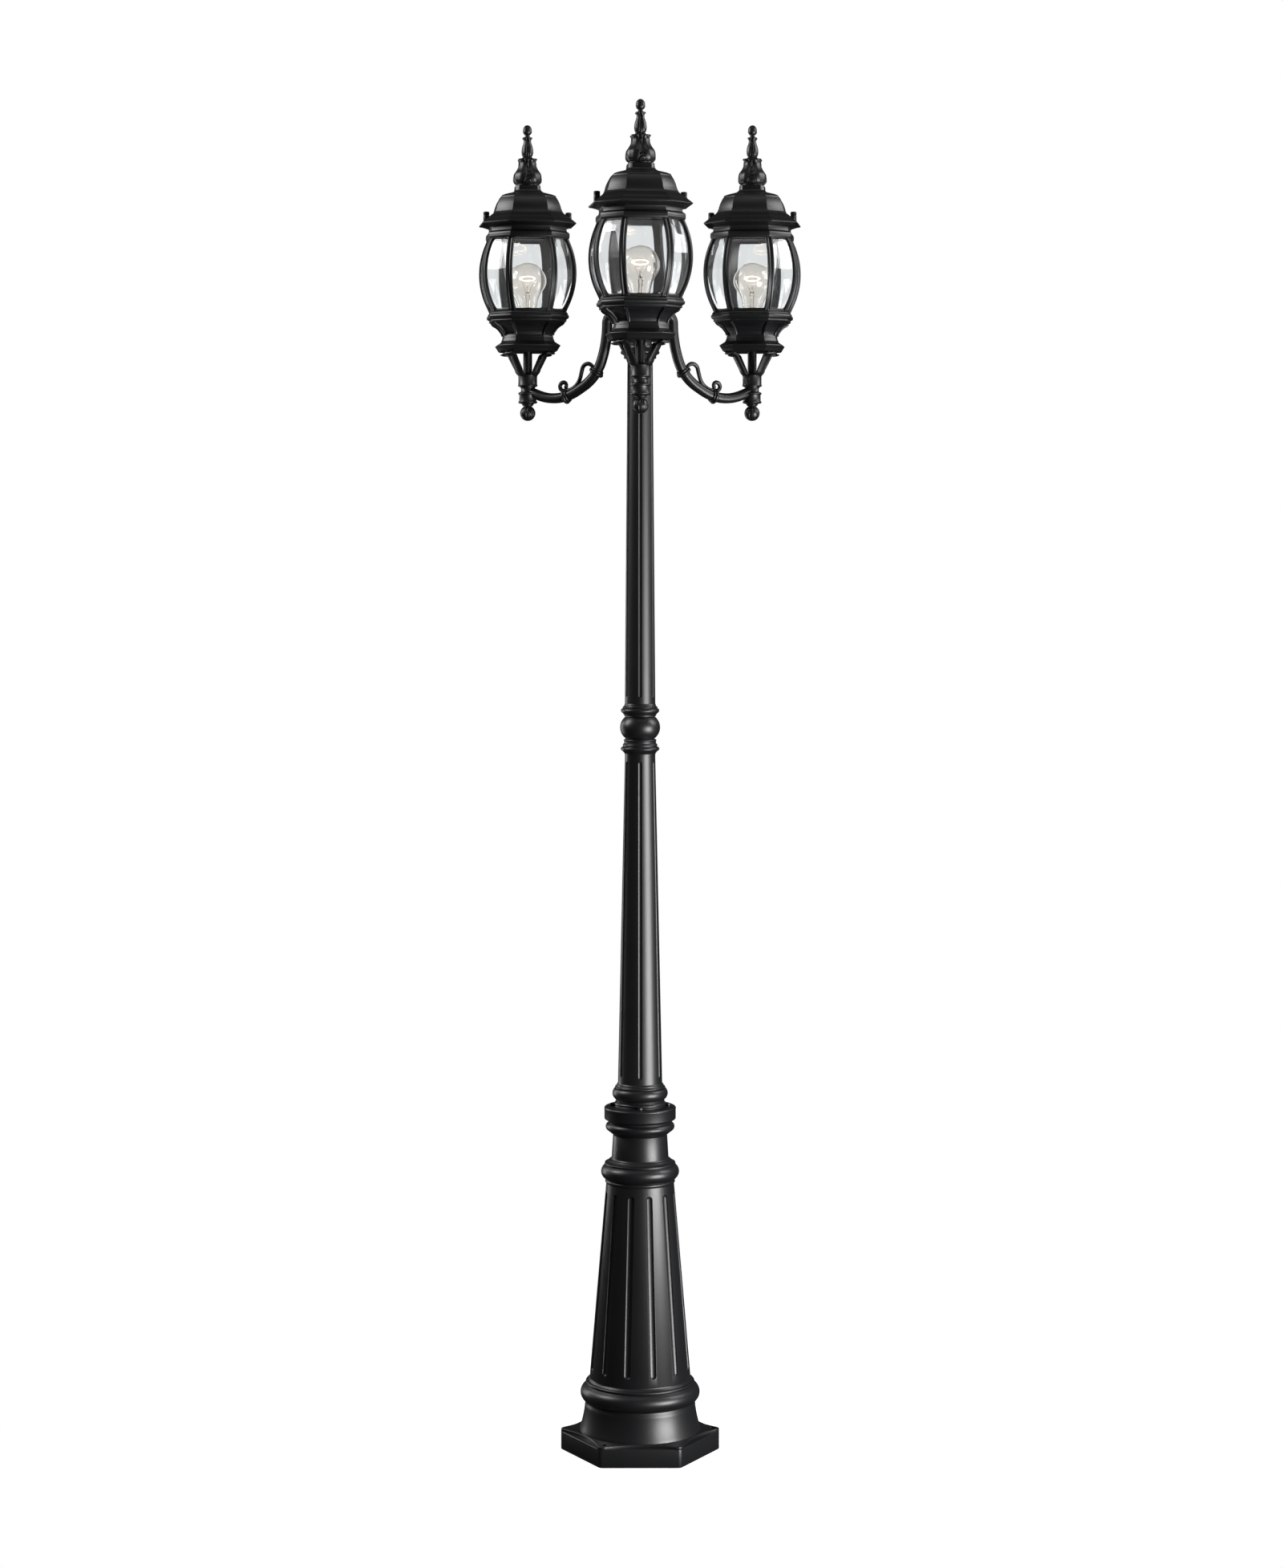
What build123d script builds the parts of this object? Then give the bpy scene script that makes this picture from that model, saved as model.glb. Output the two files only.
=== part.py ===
from build123d import *
import os
from math import atan2, cos, radians, sin, sqrt

# Triple head lamp post: three eight-sided lanterns on arms round a turned, fluted post.
# Millimetres. The post stands on the ground at the origin, +Z is up and -Y is the front.

# ---------------------------------------------------------------- clearances
seat = 0.3          # air between two pieces that rest on one another
slip = 0.4          # radial air round a piece that turns or lifts out
rebate = 0.3        # air round a pane in its window
plug = 0.3          # radial air round a spigot or a tenon

# ---------------------------------------------------------------- base casting
foot_corner = 134.0         # centre to corner of the six-sided foot
foot_round = 8.0            # rounding of its upright corners
plate_h = 31.0
tier_h = 4.5                # raised tier with six scooped sides
scoop_depth = 12.0
scoop_tip = 8.0             # straight bit left beside each corner
anchor_r = 121.0
anchor_hole = 11.0
anchor_count = 3
skirt_r = 101.5
skirt_top_r = 91.5
skirt_h = 49.5
roll_h = 37.0               # large half-round moulding over the skirt
roll_out = 9.5
cone_r = 85.0
cone_top_r = 57.0
cone_h = 328.0
bead_h = 31.0               # moulding over the cone
bead_out = 8.0
neck_r = 49.0
neck_top_r = 46.0
neck_h = 46.0
cup_h = 50.6                # cup that takes the column's flange
cup_r = 58.0
cup_band_r = 59.7
cup_rim_r = 56.0
base_wall = 4.5
base_flutes = 12
base_flute_w = 10.8
base_flute_depth = 3.0
base_flute_inset = 10.0     # plain cone left below and above the flutes

# ---------------------------------------------------------------- columns
flange_r = 52.0
flange_t = 5.7
column_ring_h = 40.0        # mouldings at the column's foot
column_ring_r = 46.8
lower_r = 37.0
lower_top_r = 25.3
lower_h = 546.5
crown_h = 24.0              # ring and disc at the column's head
crown_r = 32.1
crown_disc_r = 28.5
column_wall = 4.0
column_flutes = 6
column_flute_w = 6.6
column_flute_depth = 1.8
column_flute_inset = 6.0
ball_h = 62.4               # ball coupling between the columns
ball_r = 33.7
coupling_ring_r = 31.3
coupling_foot_r = 27.5
upper_r = 25.4
upper_top_r = 20.9
upper_h = 571.0
spigot_r = 20.0
spigot_h = 18.0
wire_way_r = 11.0
arc_chords = 3              # chords that stand for a curved stretch of an outline
small_sides = 16            # flats round the pieces that join the columns
cavity_sides = 12           # flats round a hollow that no piece fits in

# ---------------------------------------------------------------- hub
hub_ring_r = 32.0
hub_ring_h = 16.0
hub_sleeve_r = 19.5
hub_sleeve_h = 42.0
drum_r = 27.5
drum_h = 32.0
tenon = 8.5                 # how far an arm enters the drum
hub_cap_h = 7.0
hub_spigot_r = 16.0

# ---------------------------------------------------------------- arms
reach = 219.0               # post axis to lantern axis
arm_w = 17.0                # across the flats of the eight-sided bar
elbow_r = 13.0              # bend where the arm leaves the hub
shoulder_x = 63.0
shoulder_r = 181.3          # long upper bend and the degrees it turns through
shoulder_turn = 20.0
crook_r = 80.0              # tighter bend below it
crook_turn = 40.0
crook_run = 13.5
belly_r = 90.0
rise = 20.0                 # slope at which the arm meets its socket
socket_r = 16.0
socket_h = 18.8
socket_neck_r = 13.5
socket_neck_h = 9.4
collar_r = 14.0
collar_w = 6.2
collar_low_turn = 14.0       # degrees of the belly between its lowest point and the lower collar
collar_high_turn = 15.0     # degrees down the crook to the upper collar
scroll_w = 6.4              # across the flats of the scroll's bar
scroll_sunk = 2.0           # how deep it is cast into the arm's top
curl_out = 4.0             # how far the curl stands out past the lower collar
curl_r = 6.2
curl_tip_r = 5.0
curl_tip_turn = 110.0
sweep_r = 30.0
sweep_turn = 75.0
scroll_run = 14.0
hook_r = 11.0
hook_turn = 162.0
bend_step = 36.0            # degrees turned through by each stretch of the scroll's bar
arm_step = 14.0             # and by each stretch of the arm's

# ---------------------------------------------------------------- lantern mount
knob_h = 29.0
knob_r = 13.8
knob_neck_r = 7.8
hub_cup_r = 16.4            # cylinder that carries the straps
hub_cup_h = 21.8
strap_w = 13.0
strap_t = 5.0
strap_reach = 53.0          # lantern axis to the strap's outer end
strap_rise = 35.8
stem_r = 8.0
stem_seat = 10.0            # depth of the stem's hole in the strap cylinder
mount_sides = 8             # flats round the small turned pieces under and over a lantern

# ---------------------------------------------------------------- lantern
facet_reach = 160.0         # more than half the width of any facet
corner_step = 4.6           # narrow facets lie this much further out than wide ones
pan_ring_a = 52.0           # every "_a" is axis to wide facet
pan_foot_a = 47.0
pan_waist_a = 40.0
pan_flare_a = 57.0
pan_rim_a = 66.3
pan_ring_h = 10.0
pan_waist_h = 28.0
pan_flare_h = 48.0
pan_h = 65.6
pan_wall = 4.0
cage_foot_a = 61.5
cage_head_a = 64.3
cage_bulge = 16.4
cage_h = 126.0              # height of the glazed part
bar_half = 5.5              # half the width of a corner bar
bar_depth = 6.5
rail_h = 5.0
cornice_h = 28.6
cornice_a = 78.4
cornice_open_a = 57.5
pane_t = 3.0
pane_inset = 2.0
eave_a = 79.0
eave_h = 12.0
dome_a = 58.0
dome_top_a = 42.5
dome_h = 42.0
roof_wall = 3.2
crest_a = 23.0
crest_top_a = 19.7
crest_h = 58.4              # eave to the top of the collar under the finial
screw_place = 69.5
screw_head_r = 5.2
screw_head_h = 6.0
screw_recess = 1.2          # spot face round the head
screw_shank_r = 2.4
screw_shank_h = 14.0
finial_stud_r = 5.0
finial_stud_h = 9.0

# ---------------------------------------------------------------- lamp
holder_r = 20.0
holder_h = 34.0
holder_wall = 4.0
holder_floor = 12.0
bulb_r = 30.0
bulb_h = 87.0               # glass alone
bulb_neck_r = 14.5
glass_t = 1.2
bulb_sides = 8
lamp_sides = 12
cap_r = (holder_r - holder_wall) * cos(radians(180 / lamp_sides)) - slip
cap_h = 26.0

# Heading of each arm and, from the front, the turn of its lantern about its own axis.
lanterns = {"front": (-90.0, 7.0), "left": (150.0, 7.0), "right": (30.0, -7.0)}

# ---------------------------------------------------------------- heights worked out from the above
tier_z = plate_h + tier_h
skirt_z = tier_z - 1.0
roll_z = skirt_z + skirt_h
cone_z = roll_z + roll_h + 4.0
bead_z = cone_z + cone_h
neck_z = bead_z + bead_h
cup_z = neck_z + neck_h
base_top = cup_z + cup_h
flange_z = base_top - flange_t
lower_z = base_top + column_ring_h
crown_z = lower_z + lower_h
coupling_z = crown_z + crown_h + seat
upper_z = coupling_z + ball_h + seat
hub_z = upper_z + upper_h + seat
sleeve_z = hub_z + hub_ring_h
drum_z = sleeve_z + hub_sleeve_h
drum_top = drum_z + drum_h
arm_z = drum_z + drum_h / 2
steep = radians(90 - shoulder_turn)
slope = radians(90 - shoulder_turn - crook_turn)
shoulder_z = arm_z - elbow_r
crook_x = shoulder_x + shoulder_r * (1 - sin(steep))
crook_z = shoulder_z - shoulder_r * cos(steep)
belly_x = crook_x + crook_r * (sin(steep) - sin(slope)) + crook_run * cos(slope)
belly_z = crook_z - crook_r * (cos(slope) - cos(steep)) - crook_run * sin(slope)
low_x = belly_x + belly_r * sin(slope)
low_z = belly_z - belly_r * (1 - cos(slope))
scroll_x = low_x - belly_r * sin(radians(collar_low_turn))
scroll_z = low_z + belly_r * (1 - cos(radians(collar_low_turn))) + (arm_w + scroll_w) / 2 - scroll_sunk
socket_z = low_z + 0.7 - arm_w / 2
neck2_z = socket_z + socket_h
cup2_z = neck2_z + socket_neck_h + seat
cup2_top = cup2_z + hub_cup_h
pan_z = cup2_top + strap_rise + seat
waist_z = pan_z + pan_waist_h
pan_floor = waist_z - 3.0
pan_top = pan_z + pan_h
cage_z = pan_top + seat
cage_top = cage_z + cage_h
cornice_top = cage_top + cornice_h
roof_z = cornice_top + seat
roof_top = roof_z + crest_h
finial_z = roof_top + seat
screw_seat_z = roof_z + 8.5
holder_z = pan_floor + seat
cap_z = holder_z + holder_floor + seat
glass_z = cap_z + cap_h


# ---------------------------------------------------------------- helpers
def upright(heading=0.0, out=0.0, height=0.0):
    """Vertical plane through the axis: local x points along the heading, local y up."""
    t = radians(heading)
    return Plane(
        origin=(out * cos(t), out * sin(t), height),
        x_dir=(cos(t), sin(t), 0),
        z_dir=(sin(t), -cos(t), 0),
    )


def facing(heading, out):
    """Vertical plane square to the heading, out from the axis, its normal pointing outwards."""
    t = radians(heading)
    return Plane(
        origin=(out * cos(t), out * sin(t), 0),
        x_dir=(-sin(t), cos(t), 0),
        z_dir=(cos(t), sin(t), 0),
    )


def arc_points(a, b, bulge, chords):
    """Points along the arc from a to b that bulges by so much to the right of the way."""
    run, lift = b[0] - a[0], b[1] - a[1]
    chord = sqrt(run**2 + lift**2)
    half = 2 * atan2(2 * abs(bulge), chord)
    radius = chord / 2 / sin(half)
    side = 1 if bulge > 0 else -1
    out = (side * lift / chord, -side * run / chord)
    sink = radius * cos(half)
    middle = ((a[0] + b[0]) / 2 - out[0] * sink, (a[1] + b[1]) / 2 - out[1] * sink)
    along = (run / chord, lift / chord)
    points = []
    for n in range(1, chords):
        t = half * (2 * n / chords - 1)
        points.append((
            middle[0] + radius * (sin(t) * along[0] + cos(t) * out[0]),
            middle[1] + radius * (sin(t) * along[1] + cos(t) * out[1]),
        ))
    return points + [b[:2]]


def outline(points, step=0.0, chords=arc_chords):
    """Every (x, z, bulge) point becomes a stretch of chords; x grows by step off the axis."""
    path = [points[0][:2]]
    for a, b in zip(points, points[1:]):
        path += arc_points(a, b, b[2], chords) if len(b) == 3 else [b]
    return [(x + (step if x else 0.0), z) for x, z in path]


def facetted(points, sides, step=0.0, chords=arc_chords):
    """Solid with so many mitred facets, which follow the (distance, height) points from axis to axis."""
    with BuildPart() as body:
        for n in range(sides // 2):
            half = outline(points, step if n % 2 else 0.0, chords)
            with BuildSketch(upright(360 / sides * n)):
                with BuildLine():
                    Polyline(*half, *[(-x, z) for x, z in half[-2:0:-1]], close=True)
                make_face()
            extrude(amount=facet_reach, both=True, mode=Mode.INTERSECT if n else Mode.ADD)
    return body.part


def turned(points, sides=24):
    """Turned piece with narrow flats; (radius, height) points run upwards and give the corners."""
    flat = cos(radians(180 / sides))
    wall = [(radius * flat, *rest) for radius, *rest in points]
    return facetted([(0, points[0][1]), *wall, (0, points[-1][1])], sides)


def ground(route, thickness):
    """Closed outline of a bar of that thickness that follows the route of (x, z) points."""
    left, right = [], []
    for n, (x, z) in enumerate(route):
        before, after = route[max(n - 1, 0)], route[min(n + 1, len(route) - 1)]
        run, lift = after[0] - before[0], after[1] - before[1]
        away = thickness / 2 / sqrt(run**2 + lift**2)
        left.append((x - lift * away, z + run * away))
        right.append((x + lift * away, z - run * away))
    return left + right[::-1]


def eight_sided(points, chords=arc_chords):
    """Lantern piece whose narrow facets lie a step further out than its wide ones."""
    return facetted(points, 8, corner_step, chords)


def keep(name, part, spot=Location((0, 0, 0))):
    """Names one piece, puts it in its place and writes its file."""
    piece = part.moved(spot)
    piece.label = name
    export_step(piece, f"parts/{name}.step")


def flute(low, high, heading, width, depth, inset):
    """Plane and length for one flute on a taper from low to high, each a (radius, height) pair."""
    run, lift = high[0] - low[0], high[1] - low[1]
    length = sqrt(run**2 + lift**2)
    t = radians(heading)
    lean = (run / length, lift / length)
    middle = (low[0] + high[0]) / 2 + 1.0
    plane = Plane(
        origin=(middle * cos(t), middle * sin(t), (low[1] + high[1]) / 2),
        x_dir=(lean[0] * cos(t), lean[0] * sin(t), lean[1]),
        z_dir=(-lean[1] * cos(t), -lean[1] * sin(t), lean[0]),
    )
    with BuildPart() as cutter:
        with BuildSketch(plane):
            Rectangle(length - 2 * inset, width + 1.0)
            chamfer(vertices(), (width + 1.0) * 0.3)
        extrude(amount=depth + 1.0, taper=25)
    return cutter.part


def fluted(body, count, start, *rest):
    """The body with that many flutes cut round it."""
    cutters = [flute(*rest[:2], start + n * 360 / count, *rest[2:]) for n in range(count)]
    return body.cut(*cutters)


# ---------------------------------------------------------------- post
def base_casting():
    flat = foot_corner * cos(radians(30))
    half_chord = foot_corner / 2 - scoop_tip
    scoop_r = (half_chord**2 + scoop_depth**2) / (2 * scoop_depth)
    cup_roll = cup_z + 0.42 * cup_h
    body = turned([
        (skirt_r, skirt_z - tier_h), (skirt_top_r, roll_z), (skirt_top_r, roll_z + roll_h, roll_out),
        (cone_r, cone_z), (cone_top_r, bead_z), (cone_top_r + 1, neck_z - 3, bead_out), (neck_r, neck_z),
        (neck_top_r, cup_z), (cup_r - 3, cup_roll, 5), (cup_band_r, cup_roll + 4),
        (cup_band_r, base_top - 3), (cup_rim_r, base_top),
    ])
    cavity = turned([
        (skirt_r - base_wall, 0), (cone_r - base_wall, cone_z), (neck_top_r - base_wall, neck_z),
        (neck_top_r - base_wall, flange_z - seat), (flange_r + plug, flange_z - seat),
        (flange_r + plug, base_top),
    ])
    with BuildPart() as casting:
        with BuildSketch():
            RegularPolygon(radius=foot_corner, side_count=6)
            fillet(vertices(), foot_round)
        extrude(amount=plate_h)
        with BuildSketch(Plane.XY.offset(plate_h)):
            RegularPolygon(radius=foot_corner, side_count=6)
            fillet(vertices(), foot_round)
            with PolarLocations(flat - scoop_depth + scoop_r, 6, start_angle=30):
                Circle(scoop_r, mode=Mode.SUBTRACT)
        extrude(amount=tier_h)
        add(fluted(body, base_flutes, 15, (cone_r, cone_z), (cone_top_r, bead_z),
                   base_flute_w, base_flute_depth, base_flute_inset))
        add(cavity, mode=Mode.SUBTRACT)
        with BuildSketch():
            with PolarLocations(anchor_r, anchor_count):
                Circle(anchor_hole / 2)
        extrude(amount=tier_z, mode=Mode.SUBTRACT)
    return casting.part


def lower_column():
    top = crown_z + crown_h
    body = turned([
        (flange_r, flange_z), (flange_r, base_top), (column_ring_r - 6.3, base_top),
        (column_ring_r - 5, base_top + 29, 5.8), (lower_r, lower_z), (lower_top_r, crown_z),
        (crown_r, crown_z + 9), (crown_r, crown_z + 12), (crown_disc_r - 2, crown_z + 15),
        (crown_disc_r, crown_z + 19), (crown_disc_r - 4, top),
    ])
    with BuildPart() as column:
        add(fluted(body, column_flutes, 30, (lower_r, lower_z), (lower_top_r, crown_z),
                   column_flute_w, column_flute_depth, column_flute_inset))
        bore = [(lower_r - column_wall, flange_z), (spigot_r + plug, top)]
        add(turned(bore, small_sides), mode=Mode.SUBTRACT)
    return column.part


def ball_coupling():
    top = coupling_z + ball_h
    neck = coupling_z + 41.6
    low = coupling_z - spigot_h
    with BuildPart() as casting:
        add(turned([
            (spigot_r, low), (spigot_r, coupling_z), (coupling_foot_r, coupling_z),
            (coupling_foot_r + 0.5, neck, ball_r - 27.8), (coupling_ring_r, neck + 6),
            (coupling_ring_r, neck + 12), (upper_r, top), (spigot_r - 0.2, top),
            (spigot_r - 0.2, top + spigot_h),
        ], small_sides))
        add(turned([(wire_way_r, low), (wire_way_r, top + spigot_h)], cavity_sides), mode=Mode.SUBTRACT)
    return casting.part


def upper_column():
    top = upper_z + upper_h
    body = turned([(upper_r, upper_z), (upper_top_r, top)])
    with BuildPart() as column:
        add(fluted(body, column_flutes, 30, (upper_r, upper_z), (upper_top_r, top),
                   column_flute_w, column_flute_depth, column_flute_inset))
        bore = [(spigot_r + plug, upper_z), (hub_spigot_r + plug, top)]
        add(turned(bore, small_sides), mode=Mode.SUBTRACT)
    return column.part


def hub():
    low = hub_z - spigot_h
    with BuildPart() as casting:
        add(turned([
            (hub_spigot_r - 0.2, low), (hub_spigot_r - 0.2, hub_z), (hub_ring_r - 5, hub_z),
            (hub_ring_r - 5, hub_z + 5), (hub_ring_r, hub_z + 7), (hub_ring_r, hub_z + 13),
            (hub_sleeve_r, sleeve_z), (hub_sleeve_r, drum_z - 12), (drum_r, drum_z), (drum_r, drum_top),
        ], small_sides))
        add(turned([(wire_way_r, low), (wire_way_r, drum_top)], cavity_sides), mode=Mode.SUBTRACT)
        for heading, _ in lanterns.values():
            with BuildSketch(facing(heading, drum_r - tenon - seat)):
                with Locations((0, arm_z)):
                    RegularPolygon(radius=arm_w / 2 + plug, side_count=8, major_radius=False, rotation=22.5)
            extrude(amount=tenon + 2, mode=Mode.SUBTRACT)
    return casting.part


def hub_cap():
    low = drum_top + seat
    return turned([
        (drum_r - 2, low), (drum_r - 2, low + 2), (drum_r - 14, low + hub_cap_h),
    ], small_sides)


# ---------------------------------------------------------------- arm casting
def bent(at, heading, radius, turn, step=bend_step):
    """Points along a bend that leaves the point at that heading and turns by so many degrees."""
    side = 1 if turn > 0 else -1
    centre = (at[0] - side * radius * sin(radians(heading)), at[1] + side * radius * cos(radians(heading)))
    count = max(2, round(abs(turn) / step))
    points = []
    for n in range(1, count + 1):
        t = radians(heading + turn * n / count)
        points.append((centre[0] + side * radius * sin(t), centre[1] - side * radius * cos(t)))
    return points


def scroll():
    """Square bar from the rolled tip of the curl along the arm and up over the hook."""
    start = (scroll_x, scroll_z)
    far = (scroll_x + curl_out, scroll_z)
    curl = bent(far, 0, curl_r, 180)
    tip = bent(curl[-1], 180, curl_tip_r, curl_tip_turn)
    up = bent(start, 180, sweep_r, -sweep_turn)
    way = radians(180 - sweep_turn)
    run = (up[-1][0] + scroll_run * cos(way), up[-1][1] + scroll_run * sin(way))
    hook = bent(run, 180 - sweep_turn, hook_r, hook_turn)
    with BuildPart() as rod:
        with BuildSketch(Plane.XZ):
            with BuildLine():
                Polyline(*ground([*(curl + tip)[::-1], far, start, *up, run, *hook], scroll_w), close=True)
            make_face()
        extrude(amount=scroll_w / 2, both=True)
    return rod.part


def collar(at, heading):
    """Eight-sided ring round the arm, square to it where it runs at that slope."""
    t = radians(heading)
    with BuildPart() as ring:
        with BuildSketch(Plane(origin=(at[0], 0, at[1]), x_dir=(0, 1, 0), z_dir=(cos(t), 0, sin(t)))):
            RegularPolygon(radius=collar_r, side_count=8, rotation=22.5)
        extrude(amount=collar_w / 2, both=True)
    return ring.part


def arm():
    first = [(drum_r - tenon, arm_z), (shoulder_x - elbow_r, arm_z)]
    elbow = bent(first[-1], 0, elbow_r, -90, 2 * arm_step)
    shoulder = bent(elbow[-1], -90, shoulder_r, shoulder_turn, arm_step)
    down = shoulder_turn - 90
    crook = bent(shoulder[-1], down, crook_r, crook_turn, arm_step)
    turn = down + crook_turn
    run = (crook[-1][0] + crook_run * cos(radians(turn)), crook[-1][1] + crook_run * sin(radians(turn)))
    belly = bent(run, turn, belly_r, rise - turn, arm_step)
    left = reach - socket_neck_r / 2 - belly[-1][0]
    end = (belly[-1][0] + left, belly[-1][1] + left * sin(radians(rise)) / cos(radians(rise)))
    low_at = bent(run, turn, belly_r, -turn - collar_low_turn)[-1]
    high_at = bent(shoulder[-1], down, crook_r, collar_high_turn)[-1]
    socket = turned([
        (socket_r, socket_z), (socket_r, neck2_z - 2), (socket_neck_r, neck2_z),
        (socket_neck_r, neck2_z + socket_neck_h),
    ], mount_sides)
    rings = [collar(low_at, -collar_low_turn), collar(high_at, down + collar_high_turn)]
    curls = scroll()
    with BuildPart() as casting:
        with BuildLine(Plane.XZ) as route:
            Polyline(*first, *elbow, *shoulder, *crook, run, *belly, end)
        with BuildSketch(Plane(origin=(first[0][0], 0, arm_z), x_dir=(0, 1, 0), z_dir=(1, 0, 0))):
            RegularPolygon(radius=arm_w / 2, side_count=8, major_radius=False, rotation=22.5)
        sweep(path=route.wire(), transition=Transition.RIGHT)
        add(curls)
        add(rings)
        add(socket.moved(Location((reach, 0, 0))))
    return casting.part


# ---------------------------------------------------------------- lantern mount
def knob():
    top = socket_z - seat
    low = top - knob_h
    return turned([
        (4, low), (knob_r, low + 16, 3), (knob_neck_r, low + 23), (knob_neck_r, top - 3), (11, top),
    ], mount_sides)


def strap_basket():
    cup = turned([
        (hub_cup_r, cup2_z), (hub_cup_r, cup2_top - 3), (hub_cup_r - 2.5, cup2_top),
    ], mount_sides)
    low, high = cup2_top - strap_t / 2, cup2_top + strap_rise - strap_t / 2
    route = outline([
        (4, low), (10, low), (22, low + 9, 2.2), (strap_reach - 18, high - 7),
        (strap_reach - 8, high, -1.8), (strap_reach, high),
    ], 0.0, 2)
    with BuildPart() as strap:
        with BuildSketch(Plane.XZ):
            with BuildLine():
                Polyline(*ground(route, strap_t), close=True)
            make_face()
        extrude(amount=strap_w / 2, both=True)
    with BuildPart() as basket:
        add(cup)
        for heading in (45, 135, 225, 315):
            add(strap.part.rotate(Axis.Z, heading))
        with BuildSketch(Plane.XY.offset(cup2_top - stem_seat)):
            RegularPolygon(radius=stem_r + plug, side_count=mount_sides, rotation=180 / mount_sides)
        extrude(amount=stem_seat + 1, mode=Mode.SUBTRACT)
    return basket.part


def stem():
    with BuildPart() as rod:
        with BuildSketch(Plane.XY.offset(cup2_top - stem_seat + seat)):
            RegularPolygon(radius=stem_r, side_count=mount_sides, rotation=180 / mount_sides)
        extrude(amount=pan_floor - cup2_top + stem_seat - seat)
    return rod.part


# ---------------------------------------------------------------- lantern
def pan():
    flare_z = pan_z + pan_flare_h
    outer = eight_sided([
        (0, pan_z), (pan_foot_a, pan_z), (pan_ring_a, pan_z + pan_ring_h), (pan_waist_a, waist_z),
        (pan_flare_a, flare_z, -3), (pan_rim_a - 2.5, flare_z + 2), (pan_rim_a, flare_z + 7),
        (pan_rim_a, pan_top), (0, pan_top),
    ])
    inner = eight_sided([
        (0, pan_floor), (pan_waist_a - pan_wall - 6, pan_floor), (pan_waist_a - pan_wall, waist_z),
        (pan_flare_a - pan_wall, flare_z), (pan_flare_a - pan_wall, pan_top), (0, pan_top),
    ])
    with BuildPart() as casting:
        add(outer)
        add(inner, mode=Mode.SUBTRACT)
        with BuildSketch(Plane.XY.offset(pan_z)):
            RegularPolygon(radius=stem_r + plug, side_count=mount_sides, rotation=180 / mount_sides)
        extrude(amount=pan_h, mode=Mode.SUBTRACT)
    return casting.part


def cage_line(inset, low, high):
    """Bulging line of the glazed part, that far inside the corner bars' outer faces."""
    foot, head = cage_foot_a - inset, cage_head_a - inset
    return [(foot, low), (head, high, cage_bulge)]


def window(half, plane, low, high, air=0.0):
    """Prism as wide as the glass between two corner bars; half gives half a facet at foot, head, middle."""
    foot, head, middle = (h - bar_half - air for h in half)
    bulge = middle - (foot + head) / 2
    side = outline([(foot, low + air), (head, high - air, bulge)])
    with BuildPart() as prism:
        with BuildSketch(plane):
            with BuildLine():
                Polyline(*side, *[(-x, z) for x, z in reversed(side)], close=True)
            make_face()
        extrude(amount=eave_a)
    return prism.part


def facets(narrow):
    """Headings of four like facets, and their half widths at the foot, head and middle of the glass."""
    distances = (cage_foot_a, cage_head_a, (cage_foot_a + cage_head_a) / 2 + cage_bulge)
    if narrow:
        return (45, 135, 225, 315), [sqrt(2) * a - a - corner_step for a in distances]
    return (0, 90, 180, 270), [sqrt(2) * (a + corner_step) - a for a in distances]


def cage():
    glass_low, glass_high = cage_z + rail_h, cage_top - rail_h
    outer = eight_sided([
        (0, cage_z), *cage_line(0, cage_z, cage_top), (cage_head_a + 3.5, cage_top + 6),
        (cage_head_a + 1, cage_top + 14), (cage_head_a + 6.7, cage_top + 22), (cornice_a, cornice_top - 2),
        (cornice_a, cornice_top), (0, cornice_top),
    ])
    inner = eight_sided([
        (0, cage_z), *cage_line(bar_depth, cage_z, cage_top), (cornice_open_a, cornice_top),
        (0, cornice_top),
    ])
    with BuildPart() as frame:
        add(outer)
        add(inner, mode=Mode.SUBTRACT)
        for narrow in (False, True):
            headings, half = facets(narrow)
            for heading in headings:
                plane = facing(heading, cornice_open_a / 2)
                add(window(half, plane, glass_low, glass_high), mode=Mode.SUBTRACT)
        with BuildSketch(Plane.XY.offset(cornice_top)):
            with Locations((screw_place, 0), (-screw_place, 0)):
                RegularPolygon(radius=screw_shank_r + slip, side_count=8, rotation=22.5)
        extrude(amount=-screw_shank_h, mode=Mode.SUBTRACT)
    return frame.part


def panes(narrow):
    glass_low, glass_high = cage_z + rail_h, cage_top - rail_h
    step = corner_step if narrow else 0.0
    outer = outline([(step + x, *rest) for x, *rest in cage_line(pane_inset, cage_z, cage_top)])
    inner = [(x - pane_t, z) for x, z in outer]
    headings, half = facets(narrow)
    with BuildPart() as sheet:
        with BuildSketch(Plane.XZ):
            with BuildLine():
                Polyline(*outer, *reversed(inner), close=True)
            make_face()
        extrude(amount=eave_a, both=True)
        add(window(half, facing(0, cornice_open_a / 2), glass_low, glass_high, rebate), mode=Mode.INTERSECT)
    with BuildPart() as glass:
        for heading in headings:
            add(sheet.part.rotate(Axis.Z, heading))
    return glass.part


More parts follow.
